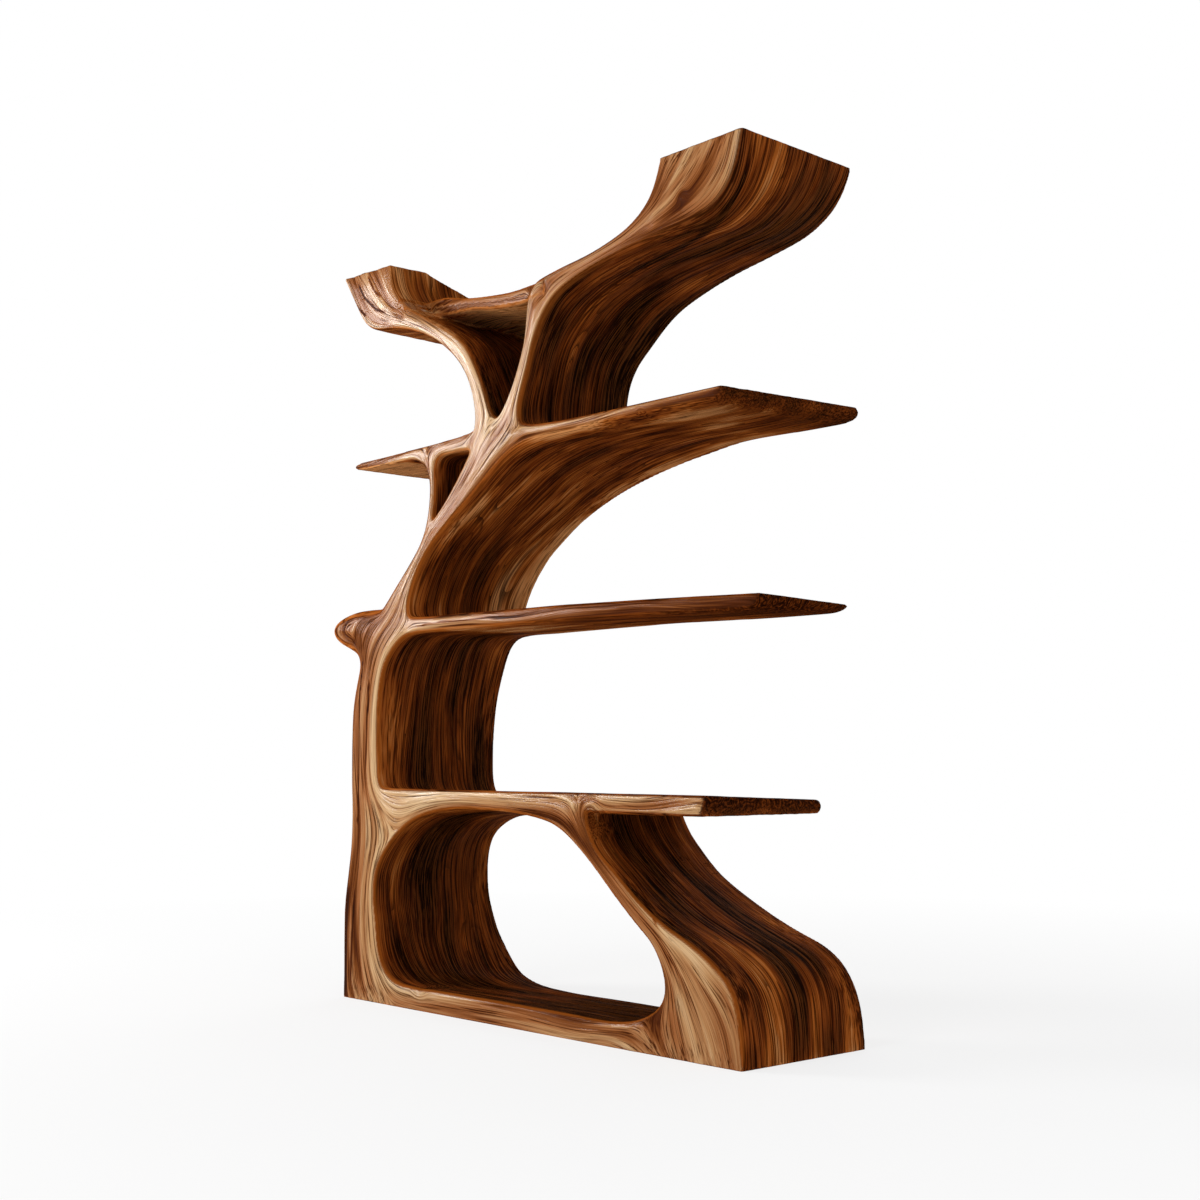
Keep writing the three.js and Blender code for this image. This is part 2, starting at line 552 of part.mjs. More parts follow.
// A loose tenon: a flat board across the joint, in the middle of the wood, that leans with the limb
function tenon_solid(joint, loops, allowance) {
  const line = joint_line_share[joint];
  const slim = slim_joints.includes(joint);
  const thickness = slim ? slim_tenon_thickness : tenon_thickness;
  const length = slim ? slim_tenon_length : tenon_length;
  const front = wood_middle(line, "front", loops);
  const back = wood_middle(line, "back", loops);
  const [from, to] = line.map(place);
  const thickness_way = to.sub(from).normalize();
  const board = new THREE.BoxGeometry(
    thickness + 2 * allowance, tenon_width + 2 * allowance, length + 2 * allowance);
  const lean = back.clone().sub(front).divideScalar(depth);
  const middle_y = tenon_setback + tenon_width / 2;
  const middle = front.clone().addScaledVector(lean, middle_y);
  board.applyMatrix4(new THREE.Matrix4().set(
    thickness_way.x, lean.x, -thickness_way.y, middle.x,
    0, 1, 0, middle_y,
    thickness_way.y, lean.y, thickness_way.x, middle.y,
    0, 0, 0, 1));
  return solid_of_geometry(board);
}

// Meshes
function mesh_of(name, solid, finish) {
  const mesh = new THREE.Mesh(geometry_of_solid(solid), new THREE.MeshStandardMaterial(finish));
  mesh.name = name;
  return mesh;
}

function section_mesh(name, whole, mortises) {
  const fenced = whole.intersect(fence_solid(section_fence_share[name]));
  const section = mortises.reduce((solid, mortise) => solid.subtract(mortise), fenced);
  return mesh_of(name, section, pale_sections.includes(name) ? sapwood : heartwood);
}

// The bookshelf
const loops = [outer_outline_share, bay_0_outline_share, pocket_outline_share, bridge_outline_share]
  .map(sample_outline);
const whole = figure();
const joints = Object.keys(joint_line_share);
const mortises = joints.map((joint) => tenon_solid(joint, loops, glue_gap));

const bookshelf = new THREE.Group();
for (const name of Object.keys(section_fence_share)) {
  bookshelf.add(section_mesh(name, whole, mortises));
}
for (const joint of joints) {
  bookshelf.add(mesh_of(`tenon_${joint}`, tenon_solid(joint, loops, 0), tenon_wood));
}
const middle = new THREE.Box3().setFromObject(bookshelf).getCenter(new THREE.Vector3());
bookshelf.position.set(-middle.x, -middle.y, 0);

export default bookshelf;
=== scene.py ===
# %% [markdown]
# # A tree shaped bookshelf of solid wood
# The bookshelf is one flowing figure: a trunk on a long base, a leg, three shelves to the right,
# one to the left, and two branches with a bridge between them. It is glued up from sections of
# limb, and the surface is carved and sanded across the joints and then oiled and polished. So the
# lesson makes the whole figure first, as one smooth skin, and saws it into its sections last.

import math

import bmesh
import bpy
import numpy as np
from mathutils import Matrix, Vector, geometry, kdtree


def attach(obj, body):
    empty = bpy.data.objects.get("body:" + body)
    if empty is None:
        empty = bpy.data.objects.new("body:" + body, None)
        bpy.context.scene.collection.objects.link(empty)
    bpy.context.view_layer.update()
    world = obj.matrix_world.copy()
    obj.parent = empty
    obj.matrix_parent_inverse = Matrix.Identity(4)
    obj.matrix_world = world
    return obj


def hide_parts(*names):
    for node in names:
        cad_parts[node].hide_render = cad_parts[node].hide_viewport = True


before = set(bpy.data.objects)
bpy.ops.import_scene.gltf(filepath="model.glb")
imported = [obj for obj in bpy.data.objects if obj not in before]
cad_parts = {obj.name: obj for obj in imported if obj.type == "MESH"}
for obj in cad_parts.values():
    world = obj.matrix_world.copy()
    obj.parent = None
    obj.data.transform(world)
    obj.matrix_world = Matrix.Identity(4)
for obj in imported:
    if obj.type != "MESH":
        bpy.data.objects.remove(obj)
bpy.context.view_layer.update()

MM = 0.001
DEPTH = 350.0
TOP = 1750.0

# %% [markdown]
# ## The camera
# It comes first, because everything is judged through it. It stands to the front right, with the
# middle of its lens at the height of the second bay, and looks slightly up, so the undersides of
# the upper shelves and the tops of the lower ones both show.

# %% Camera
CAMERA_PLACE = (2.7335, -2.417, 0.5626)
CAMERA_TURN = 47.6
CAMERA_TILT = 5.45
LENS = 49.65

camera_data = bpy.data.cameras.new("camera")
camera_data.lens = LENS
camera_data.sensor_width = 36.0
camera = bpy.data.objects.new("camera", camera_data)
camera.location = CAMERA_PLACE
camera.rotation_euler = (math.radians(90 + CAMERA_TILT), 0, math.radians(CAMERA_TURN))
bpy.context.scene.collection.objects.link(camera)
bpy.context.scene.camera = camera
print("camera:", CAMERA_PLACE, "lens", LENS)

# %% [markdown]
# ## The outlines
# Seen from the front the figure is a set of curves, and it runs straight back to a second set of
# curves a little away from the first. Each run below is a list of points in millimetres: across
# and up for the front, and where the back differs, across and up for the back as well. Runs meet
# in a sharp corner unless they say that they flow on. rim is how far the soft edge at the front
# reaches into the face, at the start and the end of the run. grain is the number of the fibre
# that runs along this edge: fibres keep their number all along a limb, and between two edges of a
# limb the numbers rise evenly, which later gives the wood its grain. sap says how pale the wood is
# on the faces along the edge, partly pale sapwood and partly painted highlight. tone says how light
# the wall is, in five steps from front to back for each place along the run; it is partly the
# wood's own colour and partly painted light: lowered as painted shade on the floor of bay 0,
# raised as painted light under the bridge and as a painted reflection at the back of the bough's
# wall. glow is the share of the orange rim, a painted highlight along the rounded front edge, end
# the share of end grain, roll how much deeper than wide the soft edge is. front and back are the
# depths where a run starts and stops, and a run that leans comes forward at the top.

# %% Outline runs
PLAIN = (0.45, 0.45, 0.45, 0.45, 0.45)
OUTER = [
    {"name": "trunk foot", "rim": (5, 14), "grain": (0, 0), "sap_and_sheen": (0.05, 0.25, 0.5),
     "tone": (PLAIN, PLAIN), "points": [
        (-623, 0), (-624, 60), (-626, 151), (-625, 216), (-612, 290), (-601, 360), (-599, 442)]},
    {"name": "trunk stem", "flow": True, "rim": (14, 22), "grain": (0, 0), "sap_and_sheen": (0.4, 0.6, 0.6),
     "tone": (PLAIN, PLAIN), "points": [
        (-599, 442), (-604, 529), (-606, 608), (-603, 680), (-591, 732), (-573, 784)]},
    {"name": "stub", "flow": True, "rim": (20, 20), "grain": (0, 30),
     "sap_and_sheen": (0.55, 0.45, 0.4, 0.62), "tone": (PLAIN, PLAIN), "points": [
        (-573, 784), (-585, 812), (-618, 828), (-655, 841), (-688, 857), (-696, 872), (-686, 885),
        (-648, 898), (-605, 905), (-543, 906), (-492, 904)]},
    {"name": "strut left", "flow": True, "rim": (16, 9), "grain": (30, 30), "sap_and_sheen": (0.6, 0.6, 0.7),
     "tone": (PLAIN, PLAIN), "points": [
        (-492, 904), (-449, 944), (-399, 990), (-357, 1030), (-330, 1063), (-312, 1105),
        (-303, 1160), (-305, 1203), (-320, 1233), (-347, 1249), (-392, 1256)]},
    {"name": "left shelf underside", "flow": True, "rim": (5, 3), "grain": (30, 30),
     "sap_and_sheen": (0.6, 0.55), "tone": ((1.1, 1.1, 1.1, 1.1, 1.0), (1.0, 1.0, 1.0, 1.0, 0.8)), "points": [
        (-392, 1256, -383, 1256), (-503, 1257, -482, 1257), (-605, 1259, -581, 1259)]},
    {"name": "left shelf end", "flow": True, "rim": (3, 3), "grain": (30, 44), "sap_and_sheen": (0.2, 0.2),
     "tone": (PLAIN, PLAIN), "end": (1, 1), "points": [
        (-605, 1259, -581, 1259), (-611, 1266, -587, 1266), (-605, 1273, -581, 1273)]},
    {"name": "left shelf top", "flow": True, "rim": (3, 5), "grain": (44, 44), "sap_and_sheen": (0.5, 0.6),
     "tone": (PLAIN, PLAIN), "points": [
        (-605, 1273, -581, 1273), (-442, 1275, -432, 1275), (-303, 1278, -312, 1278),
        (-203, 1281, -223, 1281), (-140, 1286, -173, 1286)]},
    {"name": "left branch outside", "flow": True, "rim": (7, 5), "leans": True, "grain": (44, 44),
     # The pale faces along this edge are partly a painted sheen.
     "sap_and_sheen": (0.8, 0.9, 0.75, 0.48), "tone": ((0.4,) * 5, (0.8,) * 5, (0.7,) * 5), "points": [
        (-140, 1286, -173, 1286), (-135, 1310, -167, 1310), (-141, 1352, -173, 1352),
        (-158, 1400, -184, 1400), (-187, 1445, -207, 1445), (-225, 1482, -234, 1482),
        (-275, 1517, -280, 1517), (-330, 1546), (-390, 1570), (-458, 1584), (-505, 1589),
        (-528, 1594), (-555, 1605), (-581, 1628), (-605, 1661), (-633, 1703), (-662, 1747)]},
    {"name": "left crown top", "rim": (1, 1), "leans": True, "grain": (44, 160),
     "sap_and_sheen": (0.42, 0.38), "tone": (PLAIN, PLAIN), "end": (0.5, 0.5), "points": [
        (-662, 1747), (-472, 1740)]},
    {"name": "left crown inside", "rim": (4, 5), "glow": (0.2, 0.4, 0.6), "leans": True,
     "grain": (160, 160), "sap_and_sheen": (0.5, 0.5, 0.6, 0.85), "tone": (
        (0.8, 0.72, 0.6, 0.5, 0.35), (0.85, 0.66, 0.5, 0.35, 0.25), (0.4, 0.15, 0.1, 0.15, 0.15),
        (0.3, 0.1, 0.05, 0.1, 0.15)), "points": [
        (-472, 1740), (-468, 1723), (-460, 1690), (-433, 1652), (-388, 1614), (-333, 1585),
        (-272, 1551), (-215, 1519, -223, 1519), (-173, 1486, -187, 1486),
        (-142, 1442, -165, 1442), (-114, 1392, -142, 1392), (-95, 1348, -128, 1348),
        (-79, 1312, -112, 1312), (-59, 1300, -96, 1300), (-41, 1314, -78, 1314)]},
    {"name": "right branch left side", "flow": True, "rim": (6, 10), "grain": (160, 160),
     "sap_and_sheen": (0.85, 0.8, 0.9), "tone": ((0.2,) * 5, (0.4,) * 5), "points": [
        (-41, 1314, -78, 1314), (-8, 1362, -49, 1362), (16, 1412, -35, 1412),
        (34, 1462, -11, 1462), (40, 1512, 29, 1512), (45, 1550), (62, 1578),
        (97, 1586, 97, 1590)]},
    {"name": "right crown left side", "flow": True, "rim": (12, 5), "back": (350, 325),
     "grain": (160, 160), "sap_and_sheen": (0.8, 0.7, 0.6, 0.4), "tone": (PLAIN, PLAIN), "points": [
        (97, 1586, 97, 1590), (158, 1594, 158, 1608), (227, 1601, 227, 1624),
        (297, 1614, 297, 1641), (358, 1632, 358, 1660), (399, 1655, 395, 1682),
        (428, 1684, 421, 1706), (443, 1716, 439, 1728), (454, 1750)]},
    {"name": "right crown top", "rim": (1, 1), "back": (325, 325), "grain": (160, 330),
     "sap_and_sheen": (0.6, 0.58), "tone": (PLAIN, PLAIN), "end": (0.5, 0.5), "points": [
        (454, 1750), (675, 1750, 672, 1750)]},
    {"name": "right crown right side", "rim": (4, 30), "glow": (0, 0.1), "back": (325, 350),
     "grain": (330, 330), "sap_and_sheen": (0.64, 0.56, 0.36), "tone": (
        (0.3, 0.5, 0.45, 0.25, 0.05), (0.15, 0.45, 0.4, 0.05, 0.0), (0.1, 0.35, 0.35, 0.05, 0.05)),
     "points": [
        (675, 1750, 672, 1750), (670, 1728, 663, 1729), (663, 1700, 644, 1703),
        (650, 1664, 618, 1680), (626, 1634, 587, 1663), (595, 1611, 542, 1646),
        (552, 1601, 485, 1636)]},
    {"name": "right branch underside", "flow": True, "rim": (17, 9, 7), "glow": (0.1, 0.4, 1),
     "grain": (330, 330), "sap_and_sheen": (0.3, 0.6, 0.6, 0.5), "tone": (
        (0.1, 0.35, 0.4, 0.15, 0.15), (0.2, 0.22, 0.38, 0.66, 0.2), (0.1, 0.2, 0.42, -0.08, -0.45),
        (0.0, 0.12, 0.42, -0.3, -0.55)), "points": [
        (552, 1601, 485, 1636), (458, 1597, 417, 1624), (358, 1591, 346, 1613),
        (258, 1577, 258, 1593), (188, 1561, 173, 1566), (132, 1538, 120, 1536),
        (90, 1497, 68, 1495), (62, 1447, 23, 1458), (44, 1397, -5, 1410), (25, 1350, -14, 1355),
        (12, 1308, -14, 1310), (18, 1278, -7, 1280)]},
    {"name": "shelf 3 top", "flow": True, "rim": (8, 4), "grain": (330, 330),
     "sap_and_sheen": (0.7, 0.75, 0.65, 0.55), "tone": (PLAIN, PLAIN), "points": [
        (18, 1278, -7, 1280), (58, 1270), (158, 1265), (258, 1264), (458, 1264),
        (613, 1264, 660, 1261)]},
    {"name": "shelf 3 end", "rim": (4, 8), "grain": (330, 370), "sap_and_sheen": (0.2, 0.2),
     "tone": ((0.2,) * 5, (0.3,) * 5), "end": (0.45, 0.45), "points": [
        (613, 1264, 660, 1261), (621, 1257, 667, 1254), (618, 1246, 665, 1244),
        (600, 1241, 646, 1238)]},
    {"name": "shelf 3 underside", "flow": True, "rim": (12, 15, 14, 8, 7),
     "roll": (3, 3, 2.5, 1.2, 1), "glow": (0, 0, 0.3, 1, 1), "end": (0.5, 0, 0, 0, 0, 0, 0),
     "grain": (370, 370),
     "sap_and_sheen": (0.2, 0.25, 0.4, 0.5, 0.5, 0.6), "tone": (
        (0.6, 0.7, 0.6, 0.5, 0.4), (0.9, 0.6, 0.5, 0.58, 0.65), (0.85, 0.44, 0.56, 0.45, 0.6),
        # The highest tones, at the back of the bough's wall at the end of this run, are a painted
        # reflection of the bright room.
        (0.65, 0.36, 0.55, 0.63, 0.85), (0.45, 0.64, 0.38, 0.82, 1.35),
        (0.35, 0.76, 0.38, 0.82, 1.45)),
     "points": [
        (600, 1241, 646, 1238), (508, 1242, 528, 1239), (358, 1243, 367, 1241),
        (208, 1243, 258, 1229), (97, 1242, 158, 1215), (18, 1233, 58, 1196),
        (-43, 1211, -32, 1173), (-102, 1174, -102, 1148), (-173, 1130, -173, 1117),
        (-237, 1090, -232, 1081), (-293, 1050, -285, 1045), (-338, 1005, -333, 995),
        (-367, 960, -364, 950), (-384, 920, -379, 915), (-387, 896, -383, 894),
        (-377, 883, -373, 883)]},
    {"name": "shelf 2 top", "flow": True, "rim": (9, 4), "grain": (370, 370),
     "sap_and_sheen": (0.6, 0.55, 0.4, 0.3), "tone": (PLAIN, PLAIN), "points": [
        (-377, 883, -373, 883), (-303, 880), (-142, 879), (158, 876), (458, 869),
        (709, 862, 629, 865)]},
    {"name": "shelf 2 end", "rim": (4, 6), "grain": (370, 400), "sap_and_sheen": (0.1, 0.1),
     "tone": ((0.1,) * 5, (0.1,) * 5), "end": (1, 1), "points": [
        (709, 862, 629, 865), (710, 853, 626, 861), (703, 840, 614, 858),
        (689, 836, 594, 856)]},
    {"name": "shelf 2 underside", "flow": True, "rim": (8, 8), "roll": (2.5, 2, 1.5),
     "glow": (0, 0.3, 1), "end": (1, 0.1, 0, 0, 0), "grain": (400, 400), "sap_and_sheen": (0.15, 0.3, 0.4),
     "tone": ((0.2, 0.2, 0.2, 0.3, 0.3), (0.5, 0.5, 0.5, 0.5, 0.5), (0.9, 0.9, 0.8, 0.7, 0.6)),
     "points": [
        (689, 836, 594, 856), (458, 842, 428, 857), (208, 846, 197, 862), (-43, 849, -43, 863),
        (-242, 850, -242, 862)]},
    {"name": "wall of bay 2", "flow": True, "rim": (7, 6), "glow": (1, 1), "grain": (400, 400),
     "sap_and_sheen": (0.55, 0.7, 0.75, 0.75), "tone": (
        (0.6, 0.5, 0.45, 0.5, 0.6), (0.5, 0.25, 0.2, 0.45, 0.3), (0.6, 0.25, 0.15, 0.45, 0.25),
        (0.6, 0.25, 0.2, 0.4, 0.25)), "points": [
        (-242, 850, -242, 862), (-352, 850, -352, 862), (-402, 843, -401, 856),
        (-440, 818, -433, 833), (-473, 783, -457, 786), (-490, 735, -479, 728),
        (-498, 675, -491, 675), (-498, 610, -499, 605), (-495, 550, -500, 550),
        (-490, 502, -495, 494), (-480, 490, -480, 467)]},
    {"name": "shelf 1 top", "flow": True, "rim": (6, 5), "grain": (400, 400),
     # The pale faces along this edge are partly a painted highlight at the root of shelf 1.
     "sap_and_sheen": (0.85, 0.75, 0.75), "tone": (PLAIN, PLAIN), "points": [
        (-480, 490, -480, 467), (0, 490, 0, 468), (569, 490, 549, 475)]},
    {"name": "shelf 1 end", "rim": (6, 6), "grain": (400, 440), "sap_and_sheen": (0.6, 0.6),
     "tone": ((0.0,) * 5, (0.0,) * 5), "end": (1, 1), "points": [
        (569, 490, 549, 475), (566, 482, 558, 471), (562, 472, 562, 465), (559, 463, 559, 459),
        (556, 455, 549, 455)]},
    {"name": "shelf 1 underside", "rim": (6, 8), "grain": (440, 440), "sap_and_sheen": (0.7, 0.6),
     "tone": (PLAIN, PLAIN), "points": [
        (556, 455, 549, 455), (400, 455, 380, 454), (230, 456, 153, 454)]},
    {"name": "leg right side", "flow": True, "rim": (5, 5, 6, 6), "glow": (1, 1, 0.9, 0.9),
     # The palest faces along this edge, on the boot, are partly a painted highlight.
     "grain": (440, 440), "sap_and_sheen": (0.35, 0.4, 0.8, 0.95, 0.7, 0.65), "tone": (
        (0.3, 0.35, 0.35, 0.25, 0.2), (0.3, 0.35, 0.15, 0.1, 0.15), (0.3, 0.4, 0.3, 0.15, 0.25),
        (0.35, 0.5, 0.2, 0.3, 0.3)), "points": [
        (230, 456, 153, 454), (234, 432, 162, 437), (247, 401, 184, 400), (275, 369, 223, 360),
        (317, 338, 269, 319), (367, 298, 320, 288), (417, 264, 382, 257), (467, 238, 443, 230),
        (517, 218, 508, 205), (565, 193, 559, 188), (608, 163, 600, 163), (635, 132, 628, 130),
        (648, 90, 646, 88), (654, 40), (657, 0)]},
    {"name": "boot underside", "rim": (1, 1), "grain": (440, 285), "sap_and_sheen": (0.65, 0.6),
     "tone": (PLAIN, PLAIN), "points": [
        (657, 0), (440, 0)]},
    {"name": "rail underside", "flow": True, "rim": (1, 1),
     "grain": (285, 245, 245, 245, 245, 245, 240), "sap_and_sheen": (0.65, 0.6), "tone": (PLAIN, PLAIN), "points": [
        (440, 0), (-440, 0)]},
    {"name": "foot underside", "flow": True, "rim": (1, 1), "grain": (240, 0),
     "sap_and_sheen": (0.8, 0.85, 0.1), "tone": (PLAIN, PLAIN), "points": [
        (-440, 0), (-623, 0)]},
]

BAY_0 = [
    {"name": "wall of bay 0", "closed": True, "glow": (1, 1),
     "rim": (7, 7, 7, 6, 6, 6, 6, 5, 5, 6, 7),
     "grain": (290, 290), "sap_and_sheen": (0.6, 0.7, 0.75, 0.95, 1.0, 0.5, 0.45, 0.5, 0.4, 0.45, 0.55),
     "tone": (
        (0.5, 0.5, 0.5, 0.7, 0.8), (0.5, 0.4, 0.35, 0.55, 1.0), (0.5, 0.35, 0.15, 0.4, 0.45),
        (0.25, 0.38, 0.05, 0.25, 0.15), (0.15, 0.3, 0.0, 0.2, 0.1), (0.05, 0.1, 0.0, 0.1, 0.0),
        # The first two tones below, along the floor of bay 0, are kept low as painted shade, since that
        # floor faces up to the window.
        (0.2, -0.05, -0.15, -0.15, -0.2), (0.05, -0.15, -0.2, -0.2, -0.2), (0.2, 0.0, 0.0, 0.0, 0.0),
        (0.5, 0.5, 0.5, 0.5, 0.5), (0.5, 0.5, 0.5, 0.5, 0.5)), "points": [
        (82, 440, 77, 436), (-3, 450, -13, 445), (-93, 453, -112, 441), (-182, 453, -208, 435),
        (-263, 446, -303, 430), (-327, 433, -383, 427), (-383, 411, -444, 408),
        (-433, 376, -493, 375), (-475, 337, -513, 330), (-501, 294, -517, 287),
        (-506, 250, -516, 245), (-503, 215, -509, 213), (-494, 178, -495, 180),
        (-490, 140, -479, 145), (-478, 102, -453, 113), (-452, 70, -423, 78),
        (-412, 52, -389, 47), (-352, 47, -327, 26), (-242, 48, -223, 17), (-43, 48, -43, 16),
        (158, 48, 158, 16), (308, 47, 308, 18), (367, 54, 367, 29), (414, 70, 414, 48),
        (449, 94, 449, 82), (461, 128, 458, 120), (450, 168, 443, 160), (425, 208, 412, 196),
        (382, 241, 367, 226), (327, 286, 310, 272), (269, 337, 250, 323), (222, 375, 198, 364),
        (170, 411, 150, 400), (129, 430, 114, 422)]},
]

POCKET = [
    {"name": "wall of the pocket", "closed": True, "rim": (5, 5), "glow": (0.6, 0.6),
     "grain": (70, 70), "sap_and_sheen": (0.75, 0.75), "tone": (
        (0.3,) * 5, (0.2,) * 5, (0.9, 0.7, 0.5, 0.5, 0.5), (0.6, 0.4, 0.3, 0.3, 0.3),
        (0.5, 0.3, 0.3, 0.3, 0.3), (0.3,) * 5), "points": [
        (-293, 1100), (-268, 1120), (-241, 1142), (-214, 1171), (-188, 1199), (-165, 1228),
        (-150, 1248), (-173, 1252), (-223, 1251), (-267, 1251), (-284, 1240), (-285, 1210),
        (-283, 1170), (-287, 1130)]},
]

BRIDGE = [
    {"name": "bridge left end", "rim": (4, 4), "front": (70, 70), "back": (335, 335),
     "grain": (195, 160), "sap_and_sheen": (0.45, 0.45), "tone": (PLAIN, PLAIN),
     "points": [(-432, 1626), (-432, 1648)]},
    {"name": "bridge top", "flow": True, "rim": (5, 6), "front": (70, 0), "back": (335, 350),
     "glow": (1, 1), "grain": (160, 160), "sap_and_sheen": (0.45, 0.45), "tone": (PLAIN, PLAIN),
     "points": [
        (-432, 1648), (-327, 1640), (-232, 1616), (-133, 1598), (-32, 1584), (73, 1580),
        (100, 1578)]},
    {"name": "bridge right end", "rim": (4, 4), "grain": (160, 195), "sap_and_sheen": (0.6, 0.6),
     "tone": (PLAIN, PLAIN), "points": [
        (100, 1578), (100, 1552)]},
    {"name": "bridge underside", "rim": (6, 5), "front": (0, 70), "back": (350, 335),
     "glow": (1, 1), "grain": (195, 195), "sap_and_sheen": (0.45, 0.45), "tone": (
        # These wall tones are raised as painted light, since little light reaches under the bridge.
        (1.0, 1.2, 1.2, 1.1, 1.0), (1.0, 1.1, 1.0, 0.9, 0.8)), "points": [
        (100, 1552, 100, 1530), (18, 1552, 18, 1532), (-32, 1557, -32, 1540),
        (-125, 1571, -125, 1558), (-203, 1588, -203, 1576), (-327, 1604, -327, 1584),
        (-432, 1626, -432, 1606)]},
]
print("outline runs:", len(OUTER) + len(BAY_0) + len(POCKET) + len(BRIDGE))

# %% [markdown]
# ## From points to a smooth curve
# A spline through given points is never quite fair: every small error of a point shows as a
# dent where a polished edge reflects a lamp. A boatbuilder bends a batten to find it. Here each
# curve is sampled every few millimetres and then relaxed, strongly where it is nearly straight and
# hardly at all in tight bends, while true corners stay where they are.

# %% Curve helpers
STEP = 5.0
LEAN_START = 1663.0
LEAN_TOP_DEPTH = 81.0
SHARP_BEND = 0.45
RELAX_SHARE = 0.8


def spline(points, closed):
    """Centripetal spline through the points, sampled about every STEP millimetres."""
    count = len(points)
    spans = count if closed else count - 1

    def point(index):
        if closed:
            return points[index % count]
        if index < 0:
            return 2 * points[0] - points[1]
        if index >= count:
            return 2 * points[-1] - points[-2]
        return points[index]

    samples = []
    for span in range(spans):
        p0, p1, p2, p3 = (point(span + k) for k in (-1, 0, 1, 2))
        steps = max(2, int(round(np.linalg.norm(p2 - p1) / STEP)))
        knots = [0.0]
        for a, b in ((p0, p1), (p1, p2), (p2, p3)):
            knots.append(knots[-1] + max(np.linalg.norm(b[:2] - a[:2]), 1e-6) ** 0.5)
        t0, t1, t2, t3 = knots
        for t in np.linspace(t1, t2, steps, endpoint=False):
            a1 = (t1 - t) / (t1 - t0) * p0 + (t - t0) / (t1 - t0) * p1
            a2 = (t2 - t) / (t2 - t1) * p1 + (t - t1) / (t2 - t1) * p2
            a3 = (t3 - t) / (t3 - t2) * p2 + (t - t2) / (t3 - t2) * p3
            b1 = (t2 - t) / (t2 - t0) * a1 + (t - t0) / (t2 - t0) * a2
            b2 = (t3 - t) / (t3 - t1) * a2 + (t - t1) / (t3 - t1) * a3
            samples.append((t2 - t) / (t2 - t1) * b1 + (t - t1) / (t2 - t1) * b2)
    return np.array(samples)


def along(knots, share):
    """Values at shares of a run, between knots that are evenly spaced along it."""
    table = np.array(knots, float).reshape(len(knots), -1)
    place = share * (len(knots) - 1)
    low = np.clip(place.astype(int), 0, len(knots) - 2)
    part = (place - low)[:, None]
    return table[low] * (1 - part) + table[low + 1] * part


FRONT, BACK, NEAR, FAR, RIM, TONES, ROLL = slice(0, 2), slice(2, 4), 4, 5, 6, 11, 16


def sample_run(run):
    """Rows of front x, z, back x, z, depths, rim, grain, sap, end, glow, tones and roll."""
    points = np.array([p if len(p) == 4 else (*p, *p) for p in run["points"]], float)
    curve = spline(points, run.get("closed", False))
    share = np.linspace(0, 1, len(curve), endpoint=False)
    back = along(run.get("back", (DEPTH, DEPTH)), share)
    if run.get("leans"):
        risen = np.clip((curve[:, 1:2] - LEAN_START) / (TOP - LEAN_START), 0, 1)
        back = DEPTH + (LEAN_TOP_DEPTH - DEPTH) * risen
    return np.hstack([curve, along(run.get("front", (0, 0)), share), back,
                      along(run["rim"], share), along(run["grain"], share),
                      along(run["sap_and_sheen"], share), along(run.get("end", (0, 0)), share),
                      along(run.get("glow", (0, 0)), share), along(run["tone"], share),
                      along(run.get("roll", (1, 1)), share)])


def relax(rows, fixed, passes):
    """Bends the batten: each free sample moves towards the middle of its neighbours."""
    rows = rows.copy()
    for _ in range(passes):
        before, after = np.roll(rows, 1, 0), np.roll(rows, -1, 0)
        pull = (before + after) / 2 - rows
        bend = np.linalg.norm(pull[:, :2], axis=1)
        hold = 1 / (1 + (bend / SHARP_BEND) ** 2)
        rows += np.where(fixed, 0, hold)[:, None] * pull * RELAX_SHARE
    return rows


def fair_loop(runs, passes=30):
    """One closed loop of samples from a list of runs, with its corners kept."""
    parts, fixed = [], []
    for run in runs:
        rows = sample_run(run)
        parts.append(rows)
        pinned = np.zeros(len(rows), bool)
        pinned[0] = not (run.get("flow") or run.get("closed"))
        fixed.append(pinned)
    return relax(np.vstack(parts), np.concatenate(fixed), passes)


outer, bay_0, pocket, bridge = (fair_loop(r) for r in (OUTER, BAY_0, POCKET, BRIDGE))
print("samples:", len(outer), len(bay_0), len(pocket), len(bridge))

# %% [markdown]
# ## The body of the figure
# Every wall runs straight from its front curve to its back curve, with a soft edge at both ends:
# the maker's spokeshave leaves a quarter round, wider into the face than into the wall. The walls
# of all curves and the two flat faces between them close into one skin, and the bridge, which
# starts behind the front face, is a second closed skin that is melted into the first afterwards.
# Melting shrinks every sharp edge a little, so the soft edges stand a share of their width outside
# the curve, and the flat cuts at the floor and the top get spare wood that the saw takes off.

# %% Skins
RIM_STEPS = 7
WALL_STEPS = 10
BACK_RIM_SHARE = 0.4
BACK_RIM_MOST = 4.0
BACK_SWELL = 4.0
RIM_OUTSIDE = 0.45
SPARE = 6.0
AT_CUT = 1.0


def ring(rows, depth, inset):
    """One ring of points at a depth from the front, moved into the wood by an inset."""
    mix = np.clip(depth / DEPTH, 0, 1)[:, None]
    flat = rows[:, FRONT] * (1 - mix) + rows[:, BACK] * mix
    ahead = np.roll(flat, -1, 0) - np.roll(flat, 1, 0)
    into = np.stack([ahead[:, 1], -ahead[:, 0]], 1)
    into /= np.maximum(np.linalg.norm(into, axis=1), 1e-9)[:, None]
    flat = flat + into * inset[:, None]
    flat[:, 1] = np.where(flat[:, 1] < AT_CUT, -SPARE, flat[:, 1])
    flat[:, 1] = np.where(flat[:, 1] > TOP - AT_CUT, TOP + SPARE, flat[:, 1])
    return np.stack([flat[:, 0], depth, flat[:, 1]], 1)


